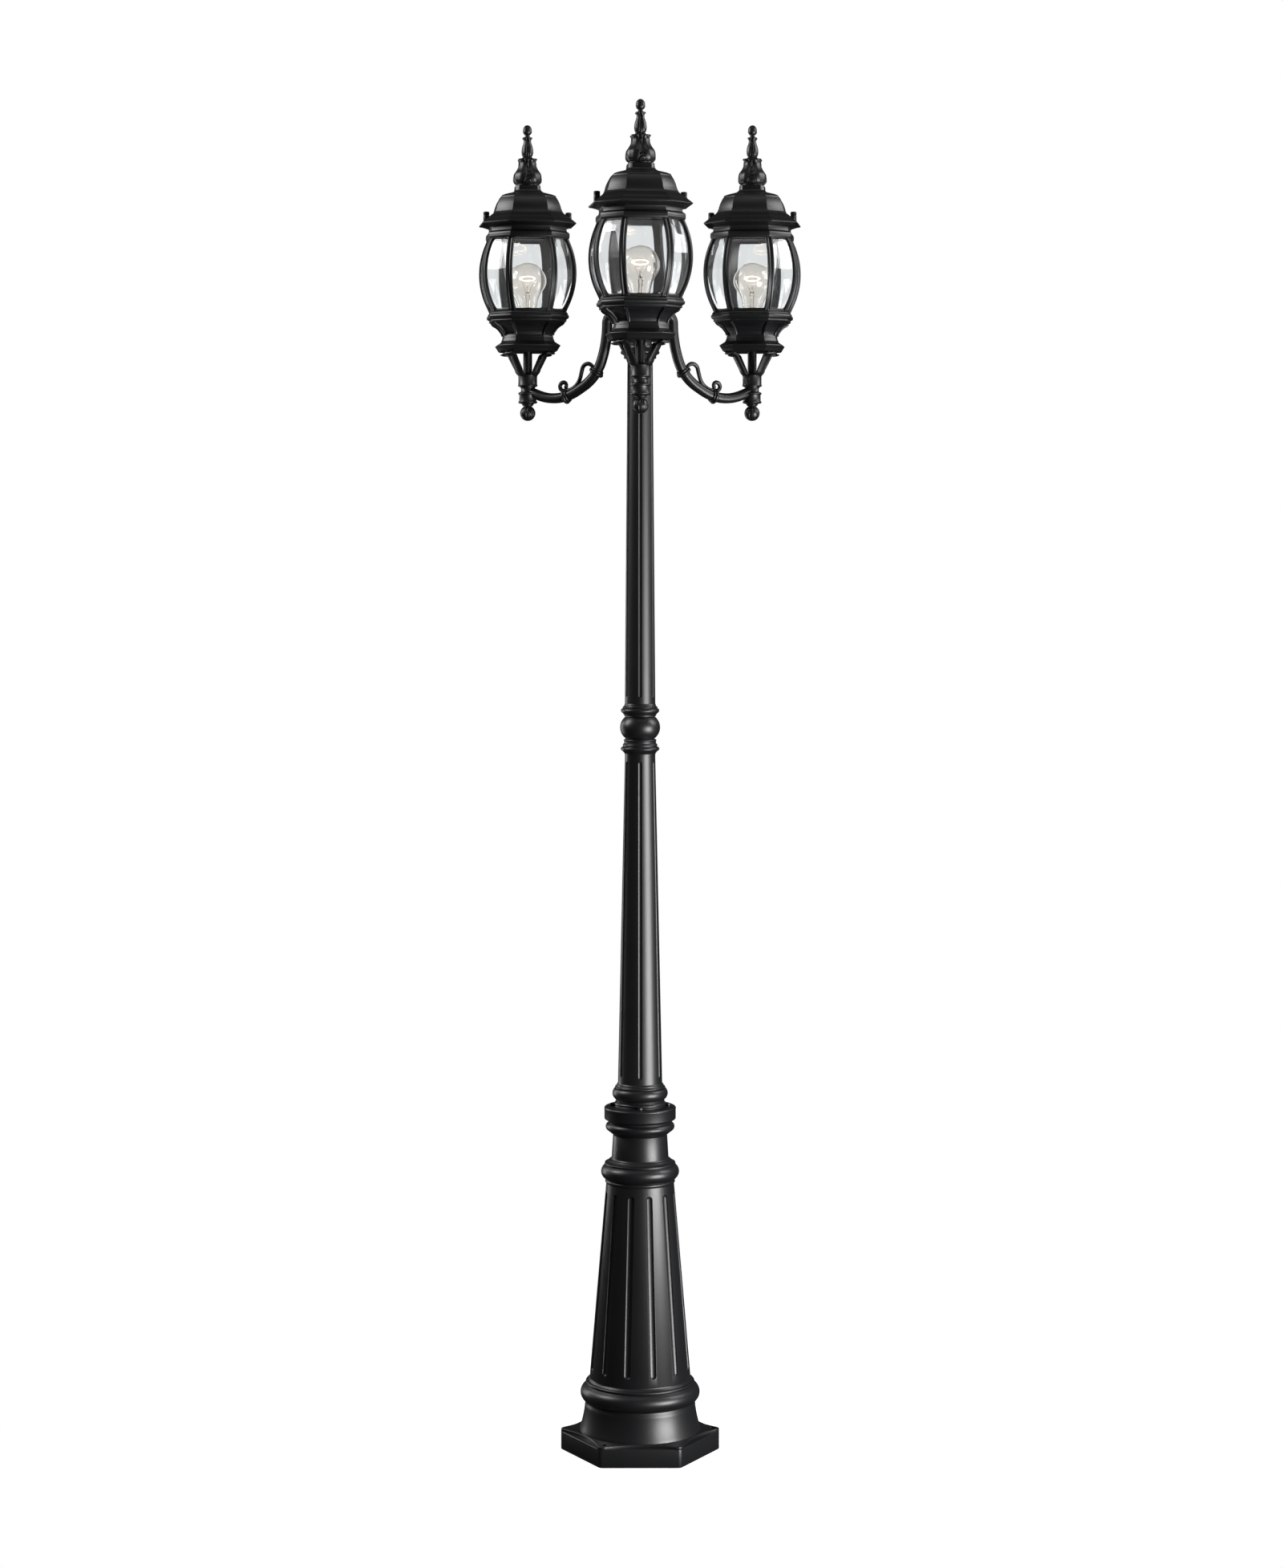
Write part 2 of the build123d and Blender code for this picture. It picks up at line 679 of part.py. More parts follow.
def roof():
    shoulder_top = roof_z + eave_h + dome_h
    outer = eight_sided([
        (0, roof_z), (eave_a, roof_z), (eave_a, roof_z + 3), (eave_a - 4.5, roof_z + 7),
        (dome_a + 9.7, roof_z + 9.5), (dome_a, roof_z + eave_h + 3),
        (dome_top_a, shoulder_top - 12, 2.5), (crest_a + 10, shoulder_top - 9), (crest_a, shoulder_top - 7),
        (crest_a - 1, shoulder_top - 5), (crest_top_a, roof_top), (0, roof_top),
    ])
    inner = eight_sided([
        (0, roof_z), (cornice_open_a, roof_z), (dome_a - roof_wall - 2, roof_z + eave_h + 3),
        (dome_top_a - roof_wall - 2, shoulder_top - 16), (0, shoulder_top - 16),
    ])
    with BuildPart() as lid:
        add(outer)
        add(inner, mode=Mode.SUBTRACT)
        with BuildSketch(Plane.XY.offset(roof_top)):
            RegularPolygon(radius=finial_stud_r + plug, side_count=mount_sides, rotation=180 / mount_sides)
        extrude(amount=-finial_stud_h - seat, mode=Mode.SUBTRACT)
        with BuildSketch(Plane.XY.offset(roof_z)):
            with Locations((screw_place, 0), (-screw_place, 0)):
                RegularPolygon(radius=screw_shank_r + slip, side_count=8, rotation=22.5)
        extrude(amount=eave_h, mode=Mode.SUBTRACT)
        with BuildSketch(Plane.XY.offset(screw_seat_z)):
            with Locations((screw_place, 0), (-screw_place, 0)):
                RegularPolygon(radius=screw_head_r + screw_recess, side_count=8, rotation=22.5)
        extrude(amount=eave_h, mode=Mode.SUBTRACT)
    return lid.part


def thumb_screw(side):
    top = screw_seat_z + seat
    with BuildPart() as screw:
        with BuildSketch(Plane.XY.offset(top - screw_shank_h)):
            Circle(screw_shank_r)
        extrude(amount=screw_shank_h)
        add(turned([(screw_head_r, top), (screw_head_r - 1, top + screw_head_h)], 8))
    return screw.part.moved(Location((side * screw_place, 0, 0)))


def finial():
    shape = [(18.7, 0), (23.3, 11), (21, 24), (14.2, 38), (17.4, 46), (8.7, 54), (9.8, 60),
             (5.9, 76), (9, 81), (7.6, 95), (2, 102.7)]
    with BuildPart() as body:
        add(turned([(finial_stud_r, finial_z - finial_stud_h), (finial_stud_r, finial_z)], mount_sides))
        add(turned([(r, finial_z + h) for r, h in shape], mount_sides))
    return body.part


# ---------------------------------------------------------------- lamp
def lamp_holder():
    top = holder_z + holder_h
    with BuildPart() as shell:
        with BuildSketch(Plane.XY.offset(holder_z)):
            RegularPolygon(radius=holder_r, side_count=lamp_sides, rotation=180 / lamp_sides)
        extrude(amount=holder_h)
        with BuildSketch(Plane.XY.offset(top)):
            RegularPolygon(radius=holder_r - holder_wall, side_count=lamp_sides, rotation=180 / lamp_sides)
        extrude(amount=-(holder_h - holder_floor), mode=Mode.SUBTRACT)
    return shell.part


def bulb_cap():
    with BuildPart() as cap:
        with BuildSketch(Plane.XY.offset(cap_z)):
            Circle(cap_r)
        extrude(amount=cap_h)
    return cap.part


def bulb_glass():
    centre = glass_z + bulb_h - bulb_r

    def skin(radius, neck, low):
        ball = [(radius * cos(radians(t)), centre + radius * sin(radians(t))) for t in (-36, 12, 66)]
        return turned([(neck, low), (neck, glass_z + 18), *ball], bulb_sides)

    with BuildPart() as envelope:
        add(skin(bulb_r, bulb_neck_r, glass_z))
        add(skin(bulb_r - glass_t, bulb_neck_r - glass_t, glass_z + 3), mode=Mode.SUBTRACT)
    return envelope.part


# ---------------------------------------------------------------- the whole post
os.makedirs("parts", exist_ok=True)

keep("base_casting", base_casting())
keep("lower_column", lower_column())
keep("ball_coupling", ball_coupling())
keep("upper_column", upper_column())
keep("hub", hub())
keep("hub_cap", hub_cap())

arm_piece = arm()
pieces = {
    "knob": knob(), "strap_basket": strap_basket(), "stem": stem(), "pan": pan(), "cage": cage(),
    "panes_wide": panes(False), "panes_narrow": panes(True), "roof": roof(),
    "thumb_screw_a": thumb_screw(-1), "thumb_screw_b": thumb_screw(1), "finial": finial(),
    "lamp_holder": lamp_holder(), "bulb_cap": bulb_cap(), "bulb_glass": bulb_glass(),
}
for side, (heading, turn) in lanterns.items():
    t = radians(heading)
    spot = Location((reach * cos(t), reach * sin(t), 0), (0, 0, turn))
    keep(f"{side}_arm", arm_piece, Location((0, 0, 0), (0, 0, heading)))
    for name, piece in pieces.items():
        keep(f"{side}_{name}", piece, spot)
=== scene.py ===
from math import atan2, copysign, cos, hypot, pi, radians, sin, sqrt

import bpy
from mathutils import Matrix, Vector


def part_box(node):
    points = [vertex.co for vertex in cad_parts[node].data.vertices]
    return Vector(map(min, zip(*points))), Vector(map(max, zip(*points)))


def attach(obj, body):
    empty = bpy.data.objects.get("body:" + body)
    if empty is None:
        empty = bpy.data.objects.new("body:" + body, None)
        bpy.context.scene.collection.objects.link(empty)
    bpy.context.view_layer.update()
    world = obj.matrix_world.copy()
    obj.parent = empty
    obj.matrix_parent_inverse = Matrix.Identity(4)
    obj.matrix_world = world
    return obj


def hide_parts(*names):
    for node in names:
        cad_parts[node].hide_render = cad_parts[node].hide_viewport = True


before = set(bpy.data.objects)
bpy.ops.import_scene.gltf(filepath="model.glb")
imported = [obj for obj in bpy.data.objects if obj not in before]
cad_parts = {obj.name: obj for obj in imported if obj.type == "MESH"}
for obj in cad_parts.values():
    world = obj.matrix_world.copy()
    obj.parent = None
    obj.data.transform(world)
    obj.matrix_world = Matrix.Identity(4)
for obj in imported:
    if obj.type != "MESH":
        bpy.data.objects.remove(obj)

bl_info = {
    "name": "Triple head lamp post",
    "version": (1, 0, 0),
    "blender": (4, 5, 0),
    "location": "3D View > Sidebar > Lamp Post",
    "description": "Builds the castings, lanterns and lamps of a three-headed garden lamp post",
    "category": "Object",
}

MM = 0.001

# Lantern headings round the post and the turn of each lantern about its own axis, in degrees.
LANTERNS = {"front": (-90.0, 7.0), "left": (150.0, 7.0), "right": (30.0, -7.0)}
CORNER_STEP = 4.6        # narrow facets lie this much further out than wide ones
CORNER_SHIFT = CORNER_STEP * sqrt(2)
MITRE = sqrt(2) - 1      # tangent of 22.5 degrees

# Sizes that several pieces share, in millimetres.
FOOT_REACH = 134.0       # post axis to the corners of the six-sided foot
ANCHOR_REACH = 121.0     # post axis to the anchor holes
ANCHOR_HOLE = 5.5        # radius of the anchor holes
SPIGOT = 18.0            # length of the spigots between the column's castings
ARM_DROP = 16.0          # top of the hub down to the line of the arms
CAGE_HEAD = 126.0        # foot of a cage up to its cornice
GLASS_INSET = 5.8        # crease of a lantern to the edge of a pane
SCREW_REACH = 69.5       # lantern axis to the thumb screws
SCREW_PAD = 5.2          # radius of the pads under the thumb screws
SCREW_HOLE = 2.8         # radius of the holes for the thumb screws

# Finish, body and slot of the pieces that are cast and coated.
CAST = ("coat", "post", "black_casting")
CAST_LID = ("coat", "{side}_lid", "black_casting")


# ---------------------------------------------------------------- places taken from the frame
def low(node):
    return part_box(node)[0].z / MM


def high(node):
    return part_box(node)[1].z / MM


def span(node):
    """The node's lowest and highest level."""
    return low(node), high(node)


# Post axis to lantern axis.
REACH = -(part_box("front_stem")[0].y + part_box("front_stem")[1].y) / 2 / MM


# ---------------------------------------------------------------- outlines
def arc_between(a, b, bulge, chords=10):
    """Points after a up to b on the arc that bulges to the right of the way by so much."""
    run, lift = b[0] - a[0], b[1] - a[1]
    chord = hypot(run, lift)
    half = 2 * atan2(2 * abs(bulge), chord)
    radius = chord / 2 / sin(half)
    side = 1 if bulge > 0 else -1
    out = (side * lift / chord, -side * run / chord)
    sink = radius * cos(half)
    middle = ((a[0] + b[0]) / 2 - out[0] * sink, (a[1] + b[1]) / 2 - out[1] * sink)
    points = []
    for n in range(1, chords):
        t = half * (2 * n / chords - 1)
        points.append(tuple(
            middle[i] + radius * (sin(t) * (run, lift)[i] / chord + cos(t) * out[i]) for i in (0, 1)
        ))
    return points + [tuple(b[:2])]


def outline(points, chords=10):
    """Plain (x, z) points from points that may carry a bulge for the stretch that leads to them."""
    path = [tuple(points[0][:2])]
    for a, b in zip(points, points[1:]):
        path += arc_between(a, b, b[2], chords) if len(b) == 3 else [tuple(b)]
    return path


def polar(distance, heading):
    """(x, y) at that distance and heading in degrees."""
    t = radians(heading)
    return distance * cos(t), distance * sin(t)


def ahead(at, distance, heading):
    """The point so far from this one along the heading."""
    run, lift = polar(distance, heading)
    return at[0] + run, at[1] + lift


def raised(by, profile):
    """The profile's (radius, height) points, bulges kept, with every height measured from that level."""
    return [(point[0], by + point[1], *point[2:]) for point in profile]


def bent(at, heading, radius, turn, step=9.0):
    """Points along a bend that leaves the point at that heading and turns by so many degrees."""
    side = 1 if turn > 0 else -1
    centre = (at[0] - side * radius * sin(radians(heading)), at[1] + side * radius * cos(radians(heading)))
    count = max(2, round(abs(turn) / step))
    points = []
    for n in range(1, count + 1):
        t = radians(heading + turn * n / count)
        points.append((centre[0] + side * radius * sin(t), centre[1] - side * radius * cos(t)))
    return points


# ---------------------------------------------------------------- modelling by hand
def pick(*objects):
    """Leaves only these objects selected, the first one active."""
    bpy.ops.object.select_all(action="DESELECT")
    for thing in objects:
        thing.select_set(True)
    bpy.context.view_layer.objects.active = objects[0]


def edit(thing, chosen=None):
    """Opens the mesh for editing with everything selected, or the vertices that the test chooses."""
    pick(thing)
    bpy.ops.object.mode_set(mode="EDIT")
    bpy.ops.mesh.select_mode(type="VERT")
    bpy.ops.mesh.select_all(action="SELECT" if chosen is None else "DESELECT")
    if chosen is not None:
        bpy.ops.object.mode_set(mode="OBJECT")
        for vertex in thing.data.vertices:
            vertex.select = bool(chosen(vertex.co / MM))
        bpy.ops.object.mode_set(mode="EDIT")


def close():
    bpy.ops.object.mode_set(mode="OBJECT")


def settle(thing):
    """Puts the object's place, turn and size into its mesh."""
    pick(thing)
    bpy.ops.object.transform_apply(location=True, rotation=True, scale=True)
    return thing


def modify(thing, kind, **settings):
    """Adds one modifier with these settings and applies it."""
    pick(thing)
    modifier = thing.modifiers.new(kind.lower(), kind)
    for key, value in settings.items():
        setattr(modifier, key, value)
    bpy.ops.object.modifier_apply(modifier=modifier.name)
    return thing


def smooth(thing, angle=32.0):
    pick(thing)
    bpy.ops.object.shade_smooth_by_angle(angle=radians(angle))
    return thing


def tidy_mesh(thing):
    """Merges doubled points, drops loose edges and turns every face outwards."""
    edit(thing)
    bpy.ops.mesh.remove_doubles(threshold=0.003 * MM)
    bpy.ops.mesh.delete_loose()
    bpy.ops.mesh.select_all(action="SELECT")
    bpy.ops.mesh.normals_make_consistent(inside=False)
    close()
    return thing


def soften(thing, width, segments=2, angle=28.0):
    """Rounds every edge sharper than the angle."""
    return modify(thing, "BEVEL", width=width * MM, segments=segments, limit_method="ANGLE",
                  angle_limit=radians(angle), use_clamp_overlap=True)


def path(points, shares=None, closed=False):
    """A curve straight from point to point; shares give the size of what is swept along it at each one."""
    bpy.ops.object.select_all(action="DESELECT")
    bpy.ops.curve.primitive_nurbs_path_add()
    line = bpy.context.object
    line.data.splines.clear()
    spline = line.data.splines.new("POLY")
    spline.points.add(len(points) - 1)
    for n, (point, place) in enumerate(zip(spline.points, points)):
        point.co = (place[0] * MM, place[1] * MM, place[2] * MM, 1)
        point.radius = shares[n] if shares else 1.0
    spline.use_cyclic_u = closed
    return line


def drawn(points, closed=False):
    """A thin line through the points, as a mesh."""
    path(points, None, closed)
    bpy.ops.object.convert(target="MESH")
    return bpy.context.object


def turned(profile, steps=96, closed=False):
    """A piece spun about the vertical axis from (radius, height) points."""
    thing = drawn([(r, 0, z) for r, z in outline(profile)], closed)
    edit(thing)
    bpy.ops.mesh.spin(steps=steps, angle=2 * pi, center=(0, 0, 0), axis=(0, 0, 1))
    bpy.ops.mesh.select_all(action="SELECT")
    close()
    return tidy_mesh(thing)


def eight_sided(profile, closed=False):
    """A spun piece of eight mitred facets whose wide ones lie at the profile's distances."""
    thing = drawn([(a, a * MITRE, z) for a, z in outline(profile)], closed)
    edit(thing)
    bpy.ops.mesh.spin(steps=8, angle=2 * pi, center=(0, 0, 0), axis=(0, 0, 1))
    close()
    tidy_mesh(thing)
    for axis, other in ((0, 1), (1, 0)):
        for sign in (-1, 1):
            edit(thing, lambda p: hypot(p.x, p.y) > 0.1 and 0 < p[axis] * sign < abs(p[other]))
            value = [0, 0, 0]
            value[axis] = sign * CORNER_SHIFT * MM
            bpy.ops.transform.translate(value=value)
            close()
    return thing


def rod(points, radius, taper=None, sides=12):
    """A round bar along the points, closed at both ends; taper gives each point's share of the radius."""
    line = path(points, taper)
    line.data.bevel_depth = radius * MM
    line.data.bevel_resolution = (sides - 4) // 2
    line.data.use_fill_caps = True
    bpy.ops.object.convert(target="MESH")
    return tidy_mesh(bpy.context.object)


def swept(points, section, scales=None, twist="Z_UP"):
    """A bar of that (across, out) section along the points, closed at both ends.

    MINIMUM keeps the section from turning over where the way is upright.
    """
    shape = path([(x, y, 0) for x, y in section], None, True)
    shape.data.dimensions = "2D"
    line = path(points, scales)
    line.data.twist_mode = twist
    line.data.bevel_mode = "OBJECT"
    line.data.bevel_object = shape
    line.data.use_fill_caps = True
    bpy.ops.object.convert(target="MESH")
    bar = bpy.context.object
    bpy.data.objects.remove(shape)
    return tidy_mesh(bar)


def primitive(kind, at, turn, **settings):
    """One of Blender's mesh primitives at that place and turn, in millimetres and degrees."""
    bpy.ops.object.select_all(action="DESELECT")
    add = getattr(bpy.ops.mesh, f"primitive_{kind}_add")
    add(location=[c * MM for c in at], rotation=[radians(t) for t in turn], **settings)
    return bpy.context.object


def disc(radius, height, at, sides=32, turn=0.0):
    """A plain cylinder standing on the point."""
    middle = (at[0], at[1], at[2] + height / 2)
    return settle(primitive(
        "cylinder", middle, (0, 0, turn), vertices=sides, radius=radius * MM, depth=height * MM))


def ball(radius, at, stretch=(1, 1, 1), segments=24, rings=16):
    """A ball that is stretched along the axes."""
    thing = primitive("uv_sphere", at, (0, 0, 0), segments=segments, ring_count=rings, radius=radius * MM)
    thing.scale = stretch
    return settle(thing)


def ring(major, minor, at, turn):
    """A torus of those radii."""
    return settle(primitive(
        "torus", at, turn, major_segments=40, minor_segments=14, major_radius=major * MM,
        minor_radius=minor * MM))


def copied(thing, turn=0.0, shift=(0, 0, 0)):
    """A copy with its own mesh, turned about the vertical axis and then moved."""
    pick(thing)
    bpy.ops.object.duplicate(linked=False)
    twin = bpy.context.object
    twin.rotation_euler = (0, 0, radians(turn))
    twin.location = [c * MM for c in shift]
    return settle(twin)


def joined(*things):
    pick(*things)
    if len(things) > 1:
        bpy.ops.object.join()
    return bpy.context.object


def combine(thing, tool, how):
    """Joins the tool to the thing or cuts it out, as how says, and removes the tool."""
    modify(thing, "BOOLEAN", object=tool, operation=how, solver="EXACT")
    bpy.data.objects.remove(tool)
    return thing


def cut(thing, tool):
    """Cuts the tool out of the thing and removes the tool."""
    return combine(thing, tool, "DIFFERENCE")


def flute(low_end, high_end, heading, width, depth, inset):
    """Cutter for one flute with round ends, sunk in the taper between two (radius, height) ends."""
    (low_r, low_z), (high_r, high_z) = low_end, high_end
    run, lift = high_r - low_r, high_z - low_z
    length = hypot(run, lift) - 2 * inset
    cutter = ball(width / 2, (0, 0, 0), segments=20, rings=11)
    for sign in (-1, 1):
        edit(cutter, lambda p: p.z * sign > 0)
        bpy.ops.transform.translate(value=(0, 0, sign * (length - width) / 2 * MM))
        close()
    cutter.scale = (2 * depth / width, 1, 1)
    cutter.rotation_euler = (0, atan2(run, lift), radians(heading))
    x, y = polar((low_r + high_r) / 2, heading)
    cutter.location = (x * MM, y * MM, (low_z + high_z) / 2 * MM)
    return settle(cutter)


def fluted(thing, count, low_end, high_end, width, depth, inset):
    """Cuts that many even flutes into the thing's taper."""
    step = 360 / count
    flutes = [flute(low_end, high_end, step * (n + 0.5), width, depth, inset) for n in range(count)]
    return cut(thing, joined(*flutes))


def corner(n, a, z):
    """Point on the crease by corner n of an eight-sided piece whose wide facets lie at distance a."""
    turn = radians(45 * n)
    x = a * cos(turn) - a * MITRE * sin(turn)
    y = a * sin(turn) + a * MITRE * cos(turn)
    if abs(x) > abs(y):
        return (x, y + copysign(CORNER_SHIFT, y), z)
    return (x + copysign(CORNER_SHIFT, x), y, z)


# ---------------------------------------------------------------- shader tools
def feed(tree, socket, value):
    """Links a value or an output to the socket, or writes a plain number or colour into it."""
    if isinstance(value, Value):
        value = value.socket
    if isinstance(value, bpy.types.NodeSocket):
        tree.links.new(value, socket)
    elif value is not None:
        socket.default_value = value


class Value:
    """One socket's value, with the usual arithmetic."""

    def __init__(self, tree, socket):
        self.tree, self.socket = tree, socket

    def math(self, operation, other=None, flip=False):
        node = self.tree.nodes.new("ShaderNodeMath")
        node.operation = operation
        order = (other, self) if flip else (self, other)
        for socket, given in zip(node.inputs, order):
            feed(self.tree, socket, given)
        return Value(self.tree, node.outputs[0])

    def __add__(self, other):
        return self.math("ADD", other)

    def __sub__(self, other):
        return self.math("SUBTRACT", other)

    def __rsub__(self, other):
        return self.math("SUBTRACT", other, True)

    def __mul__(self, other):
        return self.math("MULTIPLY", other)

    def __truediv__(self, other):
        return self.math("DIVIDE", other)

    def __pow__(self, other):
        return self.math("POWER", other)

    __radd__ = __add__
    __rmul__ = __mul__

    def clamp(self):
        return self.math("MINIMUM", 1.0).math("MAXIMUM", 0.0)


class Finish:
    """The nodes of a material, or of a world, and the few moves that their recipes are made of."""

    def __init__(self, owner):
        """The owner is a new material's name or a world."""
        kind = "World" if isinstance(owner, bpy.types.World) else "Material"
        self.material = owner if kind == "World" else bpy.data.materials.new(owner)
        self.material.use_nodes = True
        self.tree = self.material.node_tree
        self.tree.nodes.clear()
        self.out = self.node("ShaderNodeOutput" + kind)
        self.place = self.node("ShaderNodeTexCoord").outputs["Object"]

    def node(self, kind, settings=None, **sockets):
        """Any node: its settings first, then values or links by socket name, with _ for a space."""
        node = self.tree.nodes.new(kind)
        for key, value in (settings or {}).items():
            setattr(node, key, value)
        for key, value in sockets.items():
            feed(self.tree, node.inputs[key.replace("_", " ")], value)
        return node

    def noise(self, scale, detail=2.0, roughness=0.5):
        node = self.node(
            "ShaderNodeTexNoise", Vector=self.place, Scale=scale, Detail=detail, Roughness=roughness)
        return Value(self.tree, node.outputs["Fac"])

    def height(self):
        node = self.node("ShaderNodeSeparateXYZ", Vector=self.place)
        return Value(self.tree, node.outputs["Z"])

    def away(self):
        """Distance from the upright axis, in metres."""
        node = self.node("ShaderNodeSeparateXYZ", Vector=self.place)
        x, y = (Value(self.tree, node.outputs[axis]) for axis in "XY")
        return (x * x + y * y) ** 0.5

    def mixed(self, factor, first, second):
        """The two colours mixed by the factor."""
        node = self.node("ShaderNodeMix", {"data_type": "RGBA"})
        for place, value in ((0, factor), (6, first), (7, second)):
            feed(self.tree, node.inputs[place], value)
        return node.outputs[2]

    def bump(self, height, strength, distance):
        node = self.node("ShaderNodeBump", Height=height, Strength=strength, Distance=distance * MM)
        return node.outputs["Normal"]

    def choice(self, factor, first, second):
        """The second shader where the factor is one, else the first."""
        node = self.node("ShaderNodeMixShader")
        for socket, value in zip(node.inputs, (factor, first.outputs[0], second.outputs[0])):
            feed(self.tree, socket, value)
        return node

    def shader(self, **sockets):
        node = self.node("ShaderNodeBsdfPrincipled", **sockets)
        self.tree.links.new(node.outputs[0], self.out.inputs[0])
        return self.material


def rgb(colour, gain=1.0):
    return (colour[0] * gain, colour[1] * gain, colour[2] * gain, 1.0)


def powder_coat():
    """Satin black powder coat: fine orange peel and faint specks."""
    look = bpy.context.scene.lamp_post_looks
    coat = Finish("black_powder_coat")
    grain = coat.noise(900.0, 2.0, 0.6)
    peel = coat.noise(330.0, 2.0, 0.5)
    patch = coat.noise(9.0, 3.0, 0.55)
    speck = ((grain - 0.62) * 6.0).clamp()
    colour = coat.mixed(patch, rgb(look.coat_colour, 0.82), rgb(look.coat_colour, 1.25))
    colour = coat.mixed(speck * 0.35, colour, rgb(look.coat_colour, 3.0))
    rough = look.coat_roughness + (grain - 0.5) * 0.10 + (patch - 0.5) * 0.08
    return coat.shader(
        Base_Color=colour, Roughness=rough, Specular_IOR_Level=0.5, Coat_Weight=look.coat_gloss,
        Coat_Roughness=0.28, Normal=coat.bump(grain * 0.6 + peel, 0.22, 0.25))


def clear_glass(name, tint):
    """Clear pressed glass with a very slight unevenness in its tint."""
    glass = Finish(name)
    drift = glass.noise(14.0, 2.0, 0.5)
    colour = glass.mixed(drift, rgb(tint, 0.985), rgb(tint, 1.0))
    return glass.shader(Base_Color=colour, Roughness=0.0, IOR=1.45, Transmission_Weight=1.0)


def glowing_glass(name, tint, warm, strength):
    """Clear glass with a faint warm glow painted on at the height of the filament."""
    glass = Finish(name)
    drift = glass.noise(14.0, 2.0, 0.5)
    # Painted glow: the glass emits a warm band where the filament's light would fall, though the glass is no
    # lamp.
    filament, spread = (low("front_bulb_glass") + 60.0) * MM, 0.030
    away = (glass.height() - filament) / spread
    near = (1 - away * away).clamp()
    return glass.shader(
        Base_Color=glass.mixed(drift, rgb(tint, 0.985), rgb(tint, 1.0)), Roughness=0.0, IOR=1.40,
        Transmission_Weight=1.0, Emission_Color=glass.mixed(near, (0.0, 0.0, 0.0, 1.0), rgb(warm)),
        Emission_Strength=strength)


def lit_filament(warm, strength):
    glow = Finish("glowing_filament")
    drift = glow.noise(700.0, 1.0, 0.5)
    colour = glow.mixed(drift, rgb(warm), rgb((1.0, 0.86, 0.62)))
    return glow.shader(
        Base_Color=(0.9, 0.6, 0.3, 1.0), Roughness=0.5, Emission_Color=colour, Emission_Strength=strength)


def plated_metal(name, shade, roughness, metallic=1.0):
    metal = Finish(name)
    grain = metal.noise(900.0, 2.0, 0.55)
    colour = metal.mixed(grain, rgb(shade, 0.85), rgb(shade, 1.1))
    return metal.shader(
        Base_Color=colour, Roughness=roughness + (grain - 0.5) * 0.12, Metallic=metallic,
        Normal=metal.bump(grain, 0.1, 0.1))


def glazed_ceramic():
    ware = Finish("glazed_holder")
    drift = ware.noise(60.0, 3.0, 0.5)
    colour = ware.mixed(drift, (0.74, 0.72, 0.67, 1.0), (0.82, 0.80, 0.76, 1.0))
    return ware.shader(
        Base_Color=colour, Roughness=0.22 + drift * 0.08, Coat_Weight=0.4, Coat_Roughness=0.08,
        Normal=ware.bump(drift, 0.05, 0.5))


FINISHES = {}


def finish(name):
    """The material of that name, made when it is first asked for."""
    if name not in FINISHES:
        makers = {
            "coat": powder_coat,
            "pane": lambda: clear_glass("bevelled_pane_glass", (0.88, 0.895, 0.90)),
            # The bulb glass gets a painted warm glow at the filament's height.
            "bulb": lambda: glowing_glass(
                "bulb_envelope_glass", (0.955, 0.93, 0.90), (1.0, 0.72, 0.46), 0.012),
            "inner": lambda: clear_glass("lamp_stem_glass", (0.95, 0.93, 0.90)),
            "filament": lambda: lit_filament((1.0, 0.55, 0.22), bpy.context.scene.lamp_post_looks.glow),
            "wire": lambda: plated_metal("support_wire", (0.62, 0.56, 0.48), 0.3),
            "cap": lambda: plated_metal("lamp_cap_metal", (0.66, 0.63, 0.57), 0.32),
            "holder": glazed_ceramic,
            "bolt": lambda: plated_metal("blackened_bolt", (0.03, 0.03, 0.032), 0.34, 0.6),
        }
        FINISHES[name] = makers[name]()
    return FINISHES[name]


def dress(thing, name, look, body, slot, *nodes, angle=32.0):
    """Names a finished piece, gives it its finish and body and hides the frame nodes that it stands for; the
    slot is not used.
    """
    smooth(tidy_mesh(thing), angle)
    thing.name = name
    thing.data.name = name
    thing.data.materials.clear()
    thing.data.materials.append(finish(look))
    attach(thing, body)
    if nodes:
        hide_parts(*nodes)
    return thing


def on_each_lantern(pattern, name, look, body, slot, *nodes, angle=32.0):
    """Copies one lantern piece to the three lanterns; {side} in the words stands for the lantern's name."""
    for side, (heading, turn) in LANTERNS.items():
        twin = copied(pattern, turn, (*polar(REACH, heading), 0))
        dress(twin, f"{side}_{name}", look, body.format(side=side), slot,
              *[f"{side}_{node}" for node in nodes], angle=angle)
    bpy.data.objects.remove(pattern)


# ---------------------------------------------------------------- settings
class LampPostSizes(bpy.types.PropertyGroup):
    """Sizes that shape the looks of the post."""

    post_steps: bpy.props.IntProperty(
        name="Post roundness", description="Segments round the post's turned castings",
        default=96, min=24, max=256)
    edge_softness: bpy.props.FloatProperty(
        name="Edge softness", description="Radius of the cast edges, in millimetres",
        default=0.7, min=0.1, max=2.0)
    flute_width: bpy.props.FloatProperty(
        name="Flute width", description="Width of a flute in the base, in millimetres",
        default=11.5, min=4.0, max=20.0)
    pane_bevel: bpy.props.FloatProperty(
        name="Pane bevel", description="Width of the bevel round each pane, in millimetres",
        default=6.5, min=2.0, max=12.0)


class LampPostLooks(bpy.types.PropertyGroup):
    """Colours and glosses of the post."""

    coat_colour: bpy.props.FloatVectorProperty(
        name="Coat", description="Colour of the powder coat", subtype="COLOR", size=3, min=0.0, max=1.0,
        default=(0.0055, 0.0060, 0.0066))
    coat_roughness: bpy.props.FloatProperty(
        name="Coat roughness", description="Roughness of the powder coat", default=0.40, min=0.0, max=1.0)
    coat_gloss: bpy.props.FloatProperty(
        name="Coat gloss", description="Weight of the coat's clear top", default=0.15, min=0.0, max=1.0)
    glow: bpy.props.FloatProperty(
        name="Filament glow", description="Strength of the lit filaments", default=14.0, min=0.0, max=100.0)


class Step:
    """One step of the build, which the operator's own words name."""

    def execute(self, context):
        self.build(context.scene.lamp_post_sizes)
        return {"FINISHED"}


